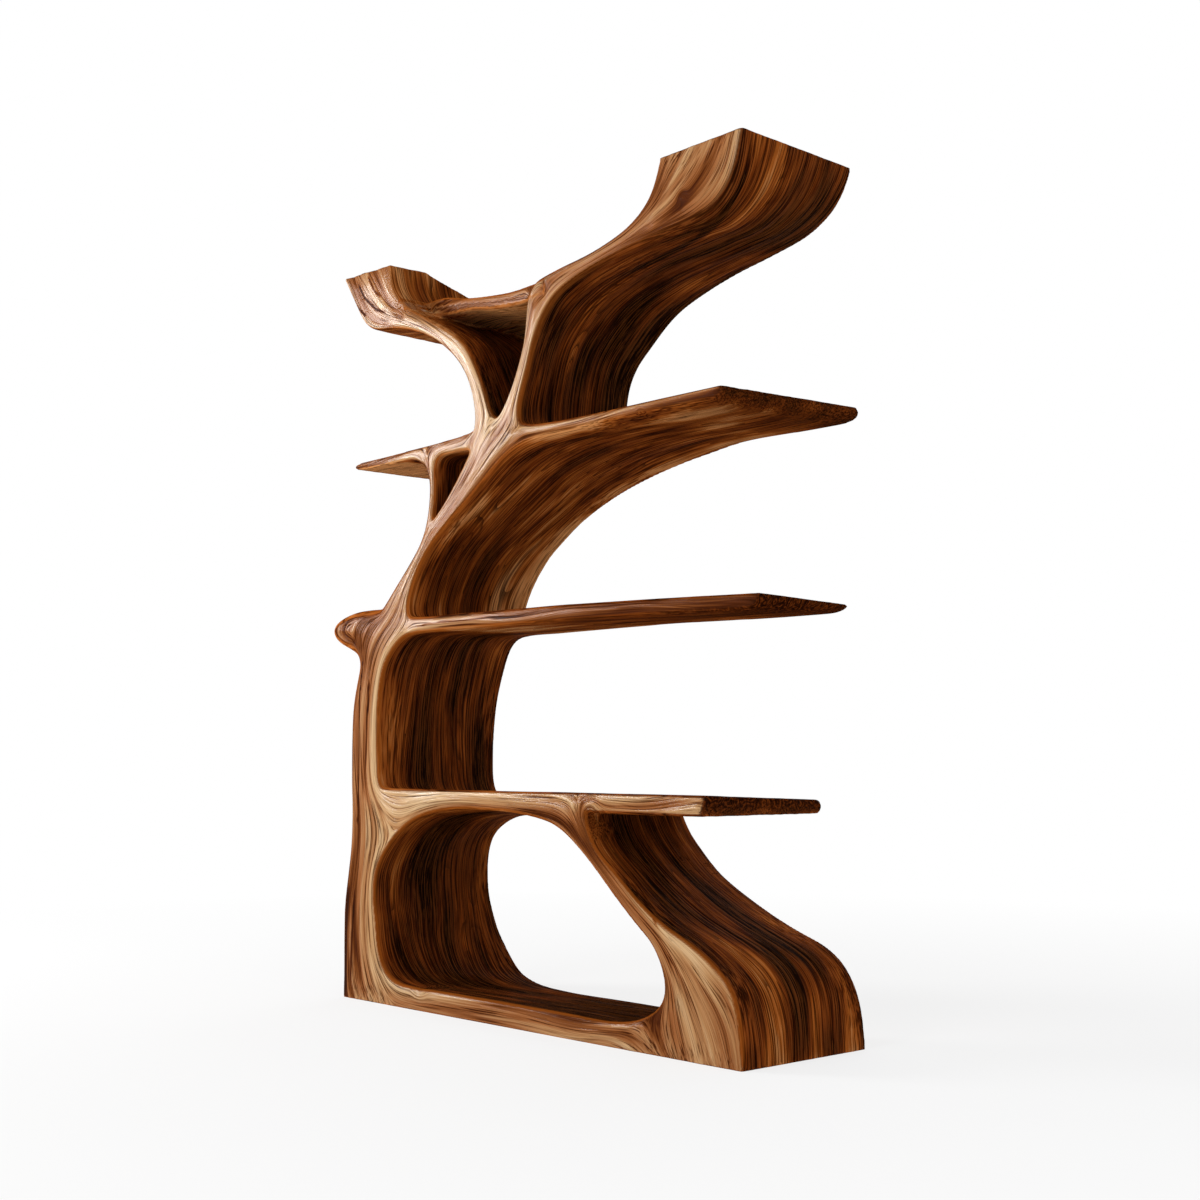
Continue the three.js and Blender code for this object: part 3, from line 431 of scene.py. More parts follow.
def wall_rings(rows):
    """All rings of a wall from the front face to the back face."""
    front, back, rim = rows[:, NEAR], rows[:, FAR], rows[:, RIM]
    roll = rim * rows[:, ROLL]
    heel = np.minimum(rim * BACK_RIM_SHARE, BACK_RIM_MOST)
    rings = []
    for step in range(RIM_STEPS + 1):
        angle = step / RIM_STEPS * math.pi / 2
        drop, inset = 1 - math.cos(angle), 1 - math.sin(angle)
        rings.append(ring(rows, front + roll * drop, rim * (inset - RIM_OUTSIDE)))
    for step in range(1, WALL_STEPS):
        share = step / WALL_STEPS
        low, high = front + roll, back - heel
        swell = RIM_OUTSIDE * rim * (1 - share) + BACK_SWELL * share
        rings.append(ring(rows, low + (high - low) * share, -swell))
    for step in range(RIM_STEPS, -1, -1):
        angle = step / RIM_STEPS * math.pi / 2
        drop, inset = 1 - math.cos(angle), 1 - math.sin(angle)
        rings.append(ring(rows, back - heel * drop, heel * inset - BACK_SWELL))
    return np.array(rings)


def inside(loop, x, z):
    """Whether each point lies inside a closed loop of points across and up."""
    within = np.zeros(np.shape(x), bool)
    for (x1, z1), (x2, z2) in zip(loop, np.roll(loop, -1, 0)):
        if z1 == z2:
            continue
        crosses = (z1 > z) != (z2 > z)
        within ^= crosses & (x < x1 + (z - z1) / (z2 - z1) * (x2 - x1))
    return within


def flat_face(loops, offsets):
    """Triangles between an outer loop and the loops inside it, as numbers of their points."""
    places, edges, origin = [], [], []
    for loop, offset in zip(loops, offsets):
        start = len(places)
        places += [Vector((p[0], p[2])) for p in loop]
        edges += [(start + i, start + (i + 1) % len(loop)) for i in range(len(loop))]
        origin += [offset + i for i in range(len(loop))]
    made = geometry.delaunay_2d_cdt(places, edges, [], 1, 1e-6)
    corners = np.array([tuple(p) for p in made[0]])
    triangles = np.array([face for face in made[2]])
    middles = corners[triangles].mean(axis=1)
    keep = inside(loops[0][:, (0, 2)], middles[:, 0], middles[:, 1])
    for hole in loops[1:]:
        keep &= ~inside(hole[:, (0, 2)], middles[:, 0], middles[:, 1])
    known = np.array([tuple(p) for p in places])
    nearest = [group[0] if group else int(np.argmin(np.hypot(*(known - corner).T)))
               for group, corner in zip(made[3], corners)]
    merged = np.array(origin)[nearest]
    return merged[triangles[keep]].tolist()


def skin(loops):
    """A closed mesh of the walls of these loops and the two faces between them."""
    points, faces, fronts, backs, front_at, back_at = [], [], [], [], [], []
    for rows in loops:
        rings = wall_rings(rows)
        rows_count, count = rings.shape[:2]
        start = sum(len(p) for p in points)
        points.append(rings.reshape(-1, 3))
        index = start + np.arange(rows_count * count).reshape(rows_count, count)
        nxt = np.roll(index, -1, 1)
        quads = np.stack([index[:-1], nxt[:-1], nxt[1:], index[1:]], -1).reshape(-1, 4)
        faces += quads.tolist()
        fronts.append(rings[0])
        backs.append(rings[-1])
        front_at.append(int(index[0, 0]))
        back_at.append(int(index[-1, 0]))
    faces += flat_face(fronts, front_at)
    faces += flat_face(backs, back_at)
    mesh = bpy.data.meshes.new("skin")
    mesh.from_pydata((np.vstack(points) - (0, DEPTH / 2, 0)) * MM, [], faces)
    mesh.update()
    work = bmesh.new()
    work.from_mesh(mesh)
    bmesh.ops.recalc_face_normals(work, faces=work.faces)
    work.to_mesh(mesh)
    work.free()
    return mesh


def as_object(name, mesh):
    """An object for a mesh, in the scene."""
    made = bpy.data.objects.new(name, mesh)
    bpy.context.scene.collection.objects.link(made)
    return made


def plain_copy(name, made):
    """The evaluated object as a plain mesh, without its modifiers."""
    graph = bpy.context.evaluated_depsgraph_get()
    mesh = bpy.data.meshes.new_from_object(made.evaluated_get(graph))
    mesh.name = name
    return mesh


figure = as_object("figure", skin([outer, bay_0, pocket]))
bridge_skin = as_object("bridge_skin", skin([bridge]))
print("figure skin:", len(figure.data.polygons), "bridge skin:", len(bridge_skin.data.polygons))

# %% [markdown]
# ## One piece of wood
# The bridge grows out of both branches, with no edge between them. So both skins are filled with
# small cubes and covered again with one mesh, and a few passes of smoothing take off the cubes'
# steps, as sandpaper would.

# %% Melt the bridge in
VOXEL = 3.5
SMOOTH_SHARE = 0.5
SMOOTH_PASSES = 4

both = bmesh.new()
both.from_mesh(figure.data)
both.from_mesh(bridge_skin.data)
both.to_mesh(figure.data)
both.free()
melt = figure.modifiers.new("melt", "REMESH")
melt.mode = "VOXEL"
melt.voxel_size = VOXEL * MM
soften = figure.modifiers.new("soften", "SMOOTH")
soften.factor = SMOOTH_SHARE
soften.iterations = SMOOTH_PASSES
whole_mesh = plain_copy("whole", figure)
bpy.data.objects.remove(figure)
bpy.data.objects.remove(bridge_skin)
print("whole figure:", len(whole_mesh.vertices), "points")

# %% [markdown]
# ## The grain as a field
# In a living tree the fibres flow along each limb and part around a fork, like water around a
# pier. Water is also how it is made here: the numbers of the fibres at the edges are fixed, and
# the numbers between them are relaxed until they are as smooth as a stretched skin. The lines of
# equal number are the grain. The same relaxing spreads the paleness from the edges over the faces.
# Five flat slices, from the front face to the back face, hold these numbers for the whole figure.

# %% Slices of the figure
CELL = 5.0
GRID_X = np.arange(-720.0, 726.0, CELL)
GRID_Z = np.arange(-10.0, 1771.0, CELL)
SLICES = np.linspace(0, DEPTH, 5)
ALL_LOOPS = [outer, bay_0, pocket, bridge]
HOLES = (1, 2)
CLOSE = 3 * CELL
RELAX_ROUNDS = 320
OVER_RELAX = 1.93
SHORTEST_STEP = 0.1
SLOPE_ROUNDS = 6


def smooth_share(value, low, high):
    """0 below low and 1 above high, with a soft start and end."""
    share = np.clip((value - low) / (high - low), 0, 1)
    return share * share * (3 - 2 * share)


def slice_fields(number, depth):
    """Depth into the wood, rim, grain, sap, end, glow, tone and start at every cell."""
    mix = depth / DEPTH
    places, inward, values, within = [], [], [], np.zeros((len(GRID_Z), len(GRID_X)), bool)
    cell_x, cell_z = np.meshgrid(GRID_X, GRID_Z)
    for turn, rows in enumerate(ALL_LOOPS):
        flat = rows[:, FRONT] * (1 - mix) + rows[:, BACK] * mix
        ahead = np.roll(flat, -1, 0) - np.roll(flat, 1, 0)
        into = np.stack([ahead[:, 1], -ahead[:, 0]], 1)
        into /= np.maximum(np.linalg.norm(into, axis=1), 1e-9)[:, None]
        places.append(flat)
        inward.append(into)
        values.append(np.hstack([rows[:, RIM:TONES], rows[:, TONES + number:TONES + number + 1],
                                 rows[:, NEAR:NEAR + 1]]))
        here = inside(flat, cell_x, cell_z)
        within = within & ~here if turn in HOLES else within | here
    places, inward, values = np.vstack(places), np.vstack(inward), np.vstack(values)
    tree = kdtree.KDTree(len(places))
    for index, (x, z) in enumerate(places):
        tree.insert((x, z, 0), index)
    tree.balance()
    near = np.array([tree.find((x, z, 0))[1] for z in GRID_Z for x in GRID_X])
    away = np.stack([cell_x.ravel(), cell_z.ravel()], 1) - places[near]
    far = np.linalg.norm(away, axis=1)
    across = np.abs((away * inward[near]).sum(axis=1))
    distance = np.where(far < CLOSE, across, far).reshape(within.shape)
    signed = np.where(within, distance, -distance)
    fields = values[near].reshape(*within.shape, -1)
    return np.dstack([signed, fields]), within


def relax_field(values, signed, rounds):
    """Over-relaxed averaging of the cells inside, which meet the outline at its true place."""
    free = signed > 0
    steps, weights = {}, {}
    for axis, turn in ((0, 1), (0, -1), (1, 1), (1, -1)):
        beyond = np.roll(signed, turn, axis)
        cut = signed / np.maximum(signed - beyond, 1e-6)
        steps[axis, turn] = np.where(beyond > 0, 1, np.clip(cut, SHORTEST_STEP, 1))
    for axis in (0, 1):
        both = steps[axis, 1] + steps[axis, -1]
        for turn in (1, -1):
            weights[axis, turn] = 2 / (steps[axis, turn] * both)
    total = sum(weights.values())
    board = np.indices(free.shape).sum(axis=0) % 2
    for _ in range(rounds):
        for field in (0, 1):
            rows, columns = np.nonzero(free & (board == field))
            around = 0
            for (axis, turn), weight in weights.items():
                beside = (rows - turn, columns) if axis == 0 else (rows, columns - turn)
                around = around + weight[rows, columns][:, None] * values[beside]
            around /= total[rows, columns][:, None]
            values[rows, columns] += OVER_RELAX * (around - values[rows, columns])


stack = []
for number, depth in enumerate(SLICES):
    fields, within = slice_fields(number, depth)
    edge_grain = fields[:, :, 2].copy()
    if number in (0, len(SLICES) - 1):
        spread = fields[:, :, 2:4].copy()
        relax_field(spread, fields[:, :, 0], RELAX_ROUNDS)
        fields[:, :, 2:4] = spread
    slope = np.hypot(*np.gradient(fields[:, :, 2], CELL))
    for _ in range(SLOPE_ROUNDS):
        slope = (slope + np.roll(slope, 1, 0) + np.roll(slope, -1, 0)
                 + np.roll(slope, 1, 1) + np.roll(slope, -1, 1)) / 5
    level = np.clip(np.log2(np.maximum(slope, 0.1)), -2, 3)
    stack.append(np.dstack([fields, level, edge_grain]))
stack = np.array(stack)
print("fields:", stack.shape, "grain", stack[0, :, :, 2].min(), stack[0, :, :, 2].max())

# %% [markdown]
# ## Reading the field
# The later steps ask for the numbers at any point in the wood, so they are read between the cells
# and between the slices.

# %% Reading the field at a point
DISTANCE, EDGE, GRAIN, SAP_AND_SHEEN, END, GLOW, TONE, START, LEVEL, EDGE_GRAIN = range(10)


def look_up(points):
    """The field's numbers at points in millimetres: across, depth and up."""
    place = np.stack([points[:, 1] / (SLICES[1] - SLICES[0]),
                      (points[:, 2] - GRID_Z[0]) / CELL,
                      (points[:, 0] - GRID_X[0]) / CELL], 1)
    top = np.array(stack.shape[:3]) - 1
    place = np.clip(place, 0, top - 1e-6)
    low = place.astype(int)
    part = place - low
    found = np.zeros((len(points), stack.shape[3]))
    for corner in np.ndindex(2, 2, 2):
        weight = np.prod(np.where(corner, part, 1 - part), axis=1)
        cell = low + corner
        found += weight[:, None] * stack[cell[:, 0], cell[:, 1], cell[:, 2]]
    return found


print("grain at the middle of the trunk:", look_up(np.array([[-545.0, 0.0, 600.0]]))[0, GRAIN])

# %% [markdown]
# ## What the hand does unevenly
# A lattice of random numbers, blended softly, gives the waves of the rasp and the wander of the
# fibres. The seed is fixed, so the piece is the same each time.

# %% Soft noise
LATTICE = 24
FAR_OFF = 100


def soft_noise(points, size, seed):
    """Smooth random numbers from -1 to 1 that change over a length of size, in millimetres."""
    spins = np.random.default_rng(seed)
    lattice = spins.uniform(-1, 1, (LATTICE,) * 3)
    place = points / size + FAR_OFF
    low = np.floor(place).astype(int)
    part = place - low
    part = part * part * (3 - 2 * part)
    found = np.zeros(len(points))
    for corner in np.ndindex(2, 2, 2):
        weight = np.prod(np.where(corner, part, 1 - part), axis=1)
        cell = (low + corner) % LATTICE
        found += weight * lattice[cell[:, 0], cell[:, 1], cell[:, 2]]
    return found


def mesh_points(mesh):
    """All points of a mesh as across, depth and up in millimetres."""
    flat = np.empty(len(mesh.vertices) * 3)
    mesh.vertices.foreach_get("co", flat)
    return flat.reshape(-1, 3) / MM + (0, DEPTH / 2, 0)


def set_mesh_points(mesh, points):
    """Moves all points of a mesh to places in millimetres."""
    mesh.vertices.foreach_set("co", ((points - (0, DEPTH / 2, 0)) * MM).ravel())
    mesh.update()


print("highest point:", mesh_points(whole_mesh)[:, 2].max(), "mm")

# %% [markdown]
# ## The crowned faces
# No face of the real piece is flat: the carver's rasp leaves each limb a little higher in its
# middle than at its edges, and slightly wavy along its length. This is what catches the
# lamps in long streaks, so it is real shape here and not only a trick of the finish.

# %% Crown the faces
CROWN_HEIGHT = 4.0
CROWN_REACH = 55.0
WAVE_HEIGHT = 2.5
WAVE_LENGTH = 130.0
FACE_SKIN = (10, 90)

points = mesh_points(whole_mesh)
found = look_up(points)
fall = CROWN_HEIGHT * (1 - np.clip(found[:, DISTANCE] / CROWN_REACH, 0, 1)) ** 2
wave = WAVE_HEIGHT * soft_noise(points, WAVE_LENGTH, 4)
fading = smooth_share(found[:, DISTANCE], 0, CROWN_REACH)
near_front = 1 - smooth_share(points[:, 1], *FACE_SKIN)
near_back = 1 - smooth_share(DEPTH - points[:, 1], *FACE_SKIN)
points[:, 1] += (fall - CROWN_HEIGHT + wave * fading) * (near_front - near_back)
set_mesh_points(whole_mesh, points)
print("crowned faces: up to", round(float(fall.max()), 1), "mm higher in the middle")

# %% [markdown]
# ## What the wood knows about itself
# Each point of a piece gets a few numbers that the carving and the finish both read. The layer
# fibre holds where it lies across the fibres on the faces and on the walls, and how dense they
# are. The layer wood holds how pale the faces are, partly sapwood and partly painted highlight, how
# light the wall is, partly its own colour and partly painted light and shade, and how far it is the
# orange rim, a painted highlight along the front edge. The layer place holds how far it is a face,
# how far it is end grain, and how deep it lies in the face. Knots push the fibres aside, and a few
# dark streaks are drawn as lines: on the faces streaks of the real piece, on the walls one along the
# front of the floor of bay 0 and one of painted shade in the carved hollow on the right side of the
# right crown, which runs on under the right branch.

# %% Numbers on the points
LAYERS = ("fibre", "wood", "place")
FACE_WARP, FACE_WARP_SIZE = 14.0, 190.0
WALL_WARP, WALL_WARP_SIZE = 26.0, 240.0
WALL_WOBBLE, WALL_WOBBLE_SIZE = 2.0, 70.0
BRIDGE_START = ((-432, 73), (70, 0))
BRIDGE_SHARE = 0.6
NARROWEST = 2
DEEP = (5, 90)
TURN_OVER = (30, 60)
FACE_FADE, FACE_END = (0.15, 0.6), 40
RIM_FADE, RIM_END = (0.3, 0.65), 4
KNOT_DEPTH = (20, 120)
STREAK_DEPTH, STREAK_END = (20, 40), 0.15

# across, up, size and push
KNOTS = [(248, 449, 26, 60), (-572, 416, 7, 14), (-319, 57, 22, 40), (520, 1655, 12, 20),
         (54, 1567, 16, -22), (-630, 866, 36, 14), (396, 1251, 10, 12)]

# half width, how much darker, and the points of the line
FACE_STREAKS = [
    (8, 0.35, [(-614, 0), (-616, 150), (-606, 270)]),
    (2.5, 0.45, [(-585, 30), (-584, 150), (-578, 260)]),
    (2, 0.6, [(-567, 420), (-569, 558), (-570, 700), (-556, 819)]),
    (2, 0.5, [(-540, 520), (-538, 640), (-530, 760)]),
    (3, 0.6, [(-640, 1715), (-600, 1660), (-560, 1630)]),
    (3, 0.6, [(-600, 1725), (-570, 1680), (-520, 1640), (-470, 1622)]),
    (3, 0.5, [(-560, 1735), (-530, 1690), (-500, 1665)]),
    (2, 0.5, [(-420, 1590), (-330, 1560), (-262, 1520), (-200, 1460), (-160, 1400)]),
    (2, 0.6, [(262, 428), (330, 362), (400, 290), (452, 230)]),
    (2, 0.5, [(-360, 862), (-250, 868), (-120, 866), (60, 862)]),
]
WALL_STREAKS_AND_SHADE = [
    (16, 0.3, [(-380, 0, 52), (-100, 0, 48), (150, 0, 48), (350, 0, 52)]),
    # Painted shade: a dark streak in the carved hollow on the right side of the right crown, running on
    # under the right branch.
    (12, 0.5, [(660, 30, 1720), (640, 28, 1665), (608, 26, 1621), (545, 50, 1603),
               (483, 82, 1605), (348, 104, 1599), (186, 83, 1565)]),
]


def near_streak(points, width, line):
    """1 on a line of points and 0 beyond its width, faded at its two ends."""
    nearest = np.full(len(points), np.inf)
    legs = len(line) - 1
    shown = np.zeros(len(points))
    for number, (start, stop) in enumerate(zip(line[:-1], line[1:])):
        start, stop = np.array(start, float), np.array(stop, float)
        along_it = stop - start
        share = np.clip(((points - start) @ along_it) / (along_it @ along_it), 0, 1)
        away = np.linalg.norm(points - start - share[:, None] * along_it, axis=1)
        closer = away < nearest
        place = (number + share) / legs
        fade = smooth_share(np.minimum(place, 1 - place), 0, STREAK_END)
        shown = np.where(closer, fade, shown)
        nearest = np.minimum(nearest, away)
    return shown * (1 - smooth_share(nearest, width * 0.7, width * 1.3))


def give_numbers(mesh):
    """Writes the three layers of numbers, fibre, wood and place, on the points of a mesh."""
    points = mesh_points(mesh)
    found = look_up(points)
    width = np.maximum(found[:, EDGE], NARROWEST)
    inset = found[:, DISTANCE] / width
    start = np.interp(points[:, 0], *BRIDGE_START)
    start *= (found[:, START] > 0) & (points[:, 1] > start * BRIDGE_SHARE)
    depth = points[:, 1] - start
    nearest_face = np.minimum(depth, DEPTH - points[:, 1])
    deep = smooth_share(nearest_face, *DEEP)
    # How far a point is a face; the rest takes the darker wall colour, which is partly painted shade.
    face = smooth_share(inset, *FACE_FADE)
    face *= 1 - smooth_share(nearest_face, width * 1.5, width * 1.5 + FACE_END)
    # The orange rim is a painted highlight along the rounded front edge.
    rim = (1 - smooth_share(inset, *RIM_FADE)) * found[:, GLOW]
    rim *= 1 - smooth_share(depth, width, width + RIM_END)
    on_face = smooth_share(inset, 0.0, 0.8) * (1 - smooth_share(nearest_face, *TURN_OVER))
    grain = found[:, EDGE_GRAIN] * (1 - on_face) + found[:, GRAIN] * on_face
    grain += FACE_WARP * soft_noise(points, FACE_WARP_SIZE, 1) * (1 - deep)
    for x, z, size, lift in KNOTS:
        reach = np.hypot(points[:, 0] - x, points[:, 2] - z) / size
        grain += lift * np.exp(-reach ** 2) * (1 - smooth_share(points[:, 1], *KNOT_DEPTH))
    wall = depth + deep * (WALL_WARP * soft_noise(points, WALL_WARP_SIZE, 2)
                           + WALL_WOBBLE * soft_noise(points, WALL_WOBBLE_SIZE, 6))
    end = found[:, END] * (1 - on_face)
    sap_and_sheen, tone = found[:, SAP_AND_SHEEN].copy(), found[:, TONE].copy()
    front = 1 - smooth_share(points[:, 1], *STREAK_DEPTH)
    for size, darker, line in FACE_STREAKS:
        sap_and_sheen -= darker * near_streak(points[:, (0, 2)], size, line) * front
    # The second wall streak is painted shade in a carved hollow of the right crown.
    for size, darker, line in WALL_STREAKS_AND_SHADE:
        tone -= darker * near_streak(points, size, line)
    for name, parts in zip(LAYERS, ((grain, wall, found[:, LEVEL] * on_face), (sap_and_sheen, tone, rim),
                                    (face, end, found[:, DISTANCE]))):
        layer = mesh.attributes.new(name, "FLOAT_VECTOR", "POINT")
        layer.data.foreach_set("vector", np.stack(parts, 1).astype(np.float32).ravel())


give_numbers(whole_mesh)
print("numbers on", len(whole_mesh.vertices), "points")

# %% [markdown]
# ## A helper for node trees
# Shaders and geometry trees are both nodes with settings and links, so one helper adds any of
# them: it sets the settings by name and fills the sockets in order, with a link or with a value.
# Two short forms of it save words, because most of the nodes are sums and ranges.

# %% Add a node
def add(tree, kind, links=(), **settings):
    """A new node with its settings, and its sockets linked or filled in order or by name."""
    made = tree.nodes.new(kind if kind.startswith("Geometry") else "ShaderNode" + kind)
    for name, value in settings.items():
        setattr(made, name, value)
    sockets = [socket for socket in made.inputs if socket.enabled]
    pairs = links.items() if isinstance(links, dict) else enumerate(links)
    for key, value in pairs:
        socket = made.inputs[key] if isinstance(key, str) else sockets[key]
        if isinstance(value, bpy.types.Node):
            value = next(out for out in value.outputs if out.enabled)
        if isinstance(value, bpy.types.NodeSocket):
            tree.links.new(value, socket)
        elif value is not None:
            socket.default_value = value
    return made


def calc(tree, operation, *values):
    """A maths node."""
    return add(tree, "Math", values, operation=operation)


def span(tree, value, low, high, start, stop):
    """A value between low and high, spread from start to stop and held beyond them."""
    return add(tree, "MapRange", (value, low, high, start, stop))


print("helpers:", add.__name__, calc.__name__, span.__name__)

# %% [markdown]
# ## Streaks that follow the grain
# Wood looks like wood because everything in it is drawn out along the fibre. A noise that is read
# at the number of the fibre and at the depth, both divided by the width of a streak, and at the
# place, divided by a much greater length, is drawn out in the same way. On a face the number
# changes from point to point and on a wall the depth does, so the lines run over the rims. Where
# fibres crowd together a coarser copy is mixed in, so that the streaks keep their real width.

# %% Streaks
NOISE_ROUGHNESS = 0.55

# width and length in millimetres, detail and seed of each pattern
PATTERNS = {
    "bands": (34.0, 420.0, 1.0, 3.0), "strands": (11.0, 300.0, 2.0, 8.0),
    "patches": (60.0, 300.0, 3.0, 14.0), "lines": (2.4, 200.0, 1.0, 21.0),
    "fibres": (1.4, 45.0, 1.0, 33.0), "swirl": (40.0, 600.0, 0.0, 40.0),
}


def streaks(tree, numbers, name):
    """A socket of noise around 0.5, in streaks of the pattern's width and length."""
    width, length, detail, seed = PATTERNS[name]
    halved = calc(tree, "POWER", 2.0, calc(tree, "FLOOR", numbers["level"]))
    coarse = calc(tree, "DIVIDE", numbers["grain"], halved)
    part = calc(tree, "FRACT", numbers["level"])
    slow_x = calc(tree, "MULTIPLY_ADD", numbers["x"], 1 / length, seed)
    slow_z = calc(tree, "MULTIPLY_ADD", numbers["z"], 1 / length, seed)
    wall = calc(tree, "MULTIPLY", numbers["wall"], 1 / width)
    made = []
    for scale in (1 / width, 0.5 / width):
        across = calc(tree, "MULTIPLY", coarse, scale)
        place = add(tree, "CombineXYZ", (across, slow_x, wall))
        made.append(add(tree, "TexNoise", {"Vector": place, "W": slow_z, "Scale": 1.0,
                                           "Detail": detail, "Roughness": NOISE_ROUGHNESS},
                        noise_dimensions="4D"))
    fine, rough = made
    return add(tree, "Mix", (part, fine.outputs["Fac"], rough.outputs["Fac"]),
               data_type="FLOAT")


def read_layers(tree, layers, position):
    """The parts of wood and place, and the numbers that the streaks read."""
    fibre, wood, place = (add(tree, "SeparateXYZ", (layer,)) for layer in layers)
    spot = add(tree, "SeparateXYZ", (position,))
    numbers = {"grain": fibre.outputs["X"], "wall": fibre.outputs["Y"],
               "level": fibre.outputs["Z"]}
    for axis in ("X", "Z"):
        numbers[axis.lower()] = calc(tree, "MULTIPLY", spot.outputs[axis], 1 / MM)
    return wood, place, numbers


print("patterns:", list(PATTERNS))

# %% [markdown]
# ## The carved skin
# The surface is combed by the tools along the grain: shallow flutes a few centimetres wide, and in
# them finer ones. A tree of Geometry Nodes moves each point along its normal by the same streaks
# that colour the wood, so the dark streaks lie in the hollows.

# %% Carving tree
FLUTE_DEPTH = 1.8
RIPPLE_DEPTH = 1.0
NOISE_SPREAD = 5.0
WALL_CARVING = 0.35


def carving_tree():
    """Geometry Nodes that carve a skin along its grain and give it its wood."""
    tree = bpy.data.node_groups.new("carve_flutes", "GeometryNodeTree")
    tree.interface.new_socket("Skin", in_out="INPUT", socket_type="NodeSocketGeometry")
    for name, value in (("Flute Depth", FLUTE_DEPTH), ("Ripple Depth", RIPPLE_DEPTH)):
        socket = tree.interface.new_socket(name, in_out="INPUT", socket_type="NodeSocketFloat")
        socket.default_value = value
    tree.interface.new_socket("Wood", in_out="INPUT", socket_type="NodeSocketMaterial")
    tree.interface.new_socket("Carved", in_out="OUTPUT", socket_type="NodeSocketGeometry")
    given = tree.nodes.new("NodeGroupInput")
    taken = tree.nodes.new("NodeGroupOutput")
    layers = [add(tree, "GeometryNodeInputNamedAttribute", (name,), data_type="FLOAT_VECTOR")
              for name in LAYERS]
    _, place, numbers = read_layers(tree, layers, add(tree, "GeometryNodeInputPosition"))
    moved = 0.0
    for name, depth in (("bands", "Flute Depth"), ("strands", "Ripple Depth")):
        centred = calc(tree, "SUBTRACT", streaks(tree, numbers, name), 0.5)
        deep = calc(tree, "MULTIPLY", centred, given.outputs[depth])
        moved = calc(tree, "MULTIPLY_ADD", deep, NOISE_SPREAD * MM, moved)
    whole_grain = calc(tree, "SUBTRACT", 1.0, place.outputs["Y"])
    kept = calc(tree, "MULTIPLY", moved, whole_grain)
    kept = calc(tree, "MULTIPLY", kept,
                span(tree, place.outputs["X"], 0.0, 1.0, WALL_CARVING, 1.0))
    offset = add(tree, "VectorMath", {"Vector": add(tree, "GeometryNodeInputNormal"),
                                      "Scale": kept}, operation="SCALE")
    carved = add(tree, "GeometryNodeSetPosition", {"Geometry": given.outputs["Skin"],
                                                   "Offset": offset})
    real = add(tree, "GeometryNodeRealizeInstances", (carved,))
    dressed = add(tree, "GeometryNodeSetMaterial", {"Geometry": real,
                                                    "Material": given.outputs["Wood"]})
    tree.links.new(dressed.outputs[0], taken.inputs[0])
    return tree


carve = carving_tree()
print("carving tree:", len(carve.nodes), "nodes")

# %% [markdown]
# ## The colours of the wood
# It is a dense tropical hardwood, pale along the front and dark on the walls: partly pale sapwood
# and dark heartwood, and partly painted shade, for the walls turn away from the window. Each of the
# two has a ramp from its darkest to its palest tone, and end grain, which drinks more oil, has a
# darker one. All tones are written as they would be picked on a screen.

# %% Colours of the wood
def colour(code):
    """A linear colour from its hex code."""
    parts = [int(code[k:k + 2], 16) / 255 for k in (1, 3, 5)]
    return tuple(c / 12.92 if c <= 0.04045 else ((c + 0.055) / 1.055) ** 2.4
                 for c in parts) + (1.0,)


FACE_TONES = ((0.0, "#2a1003"), (0.25, "#50240b"), (0.4, "#764018"), (0.52, "#965a2c"),
              (0.75, "#b38250"), (1.0, "#cba679"))
# The wall ramp is darker than the face ramp partly as painted shade, for the walls turn away from the
# window.
WALL_TONES = ((0.0, "#180702"), (0.25, "#481c08"), (0.5, "#7a3810"), (0.75, "#aa5c22"),
              (1.0, "#d8955a"))
END_TONES = ((0.36, "#130401"), (0.52, "#351204"), (0.72, "#6e3410"))
# The orange rim is a painted highlight along the rounded front edges.
RIM_HIGHLIGHT_TONE = "#98501a"
FACE_LINE_TONE = "#3a1705"
# The thin light lines on the walls are a painted highlight on the raised fibres.
WALL_FIBRE_GLINT_TONE = "#a8602c"
WALL_GAP_TONE = "#120501"


def tone_ramp(tree, value, stops):
    """The colour at a value between stops of a place and a hex code."""
    ramp = add(tree, "ValToRGB", (value,))
    points = ramp.color_ramp.elements
    points[0].position, points[0].color = stops[0][0], colour(stops[0][1])
    points[1].position, points[1].color = stops[-1][0], colour(stops[-1][1])
    for place, code in stops[1:-1]:
        points.new(place).color = colour(code)
    return ramp.outputs["Color"]


def dyed(tree, share, below, code):
    """A colour with a share of another one over it."""
    above = colour(code) if isinstance(code, str) else code
    return add(tree, "Mix", (share, below, above), data_type="RGBA").outputs[2]


print("tones:", len(FACE_TONES), "on the faces,", len(WALL_TONES), "on the walls")

# %% [markdown]
# ## Faces, walls and end grain
# The colour is built up as the eye reads it: first the broad tone of the place, moved by bands,
# strands and patches, then the thin lines. On the faces they are dark and crowd where a strand is
# dark. On the walls, where the fibres stand up under the scraper, there are thin light lines between
# dark gaps, a painted highlight on the raised fibres, and long dark veins in the paler wood. End
# grain has curled rings and short dark pores instead of lines.

# %% Faces, walls and end grain
FACE_SHARES, FACE_MIDDLE = (("bands", 1.4), ("strands", 0.6), ("lines", 0.5)), -1.25
WALL_SHARES, WALL_MIDDLE = (("patches", 2.5), ("strands", 0.35), ("lines", 0.7)), -1.78
RINGS = (7.0, 0.0, 0.35)
VEINS = (18.0, 0.05, 0.4)
VEIN_EDGES = ((20.0, 60.0), (335.0, 290.0))
FACE_RINGS, WALL_RINGS = 0.32, 0.25
PORE_SCALE, CURL_SCALE, CURL_TURNS = 160.0, 14.0, 34.0


def shifted(tree, start, patterns, shares, middle):
    """A tone moved by its share of each pattern."""
    shift = middle
    for name, share in shares:
        shift = calc(tree, "MULTIPLY_ADD", patterns[name], share, shift)
    return calc(tree, "ADD", start, shift)


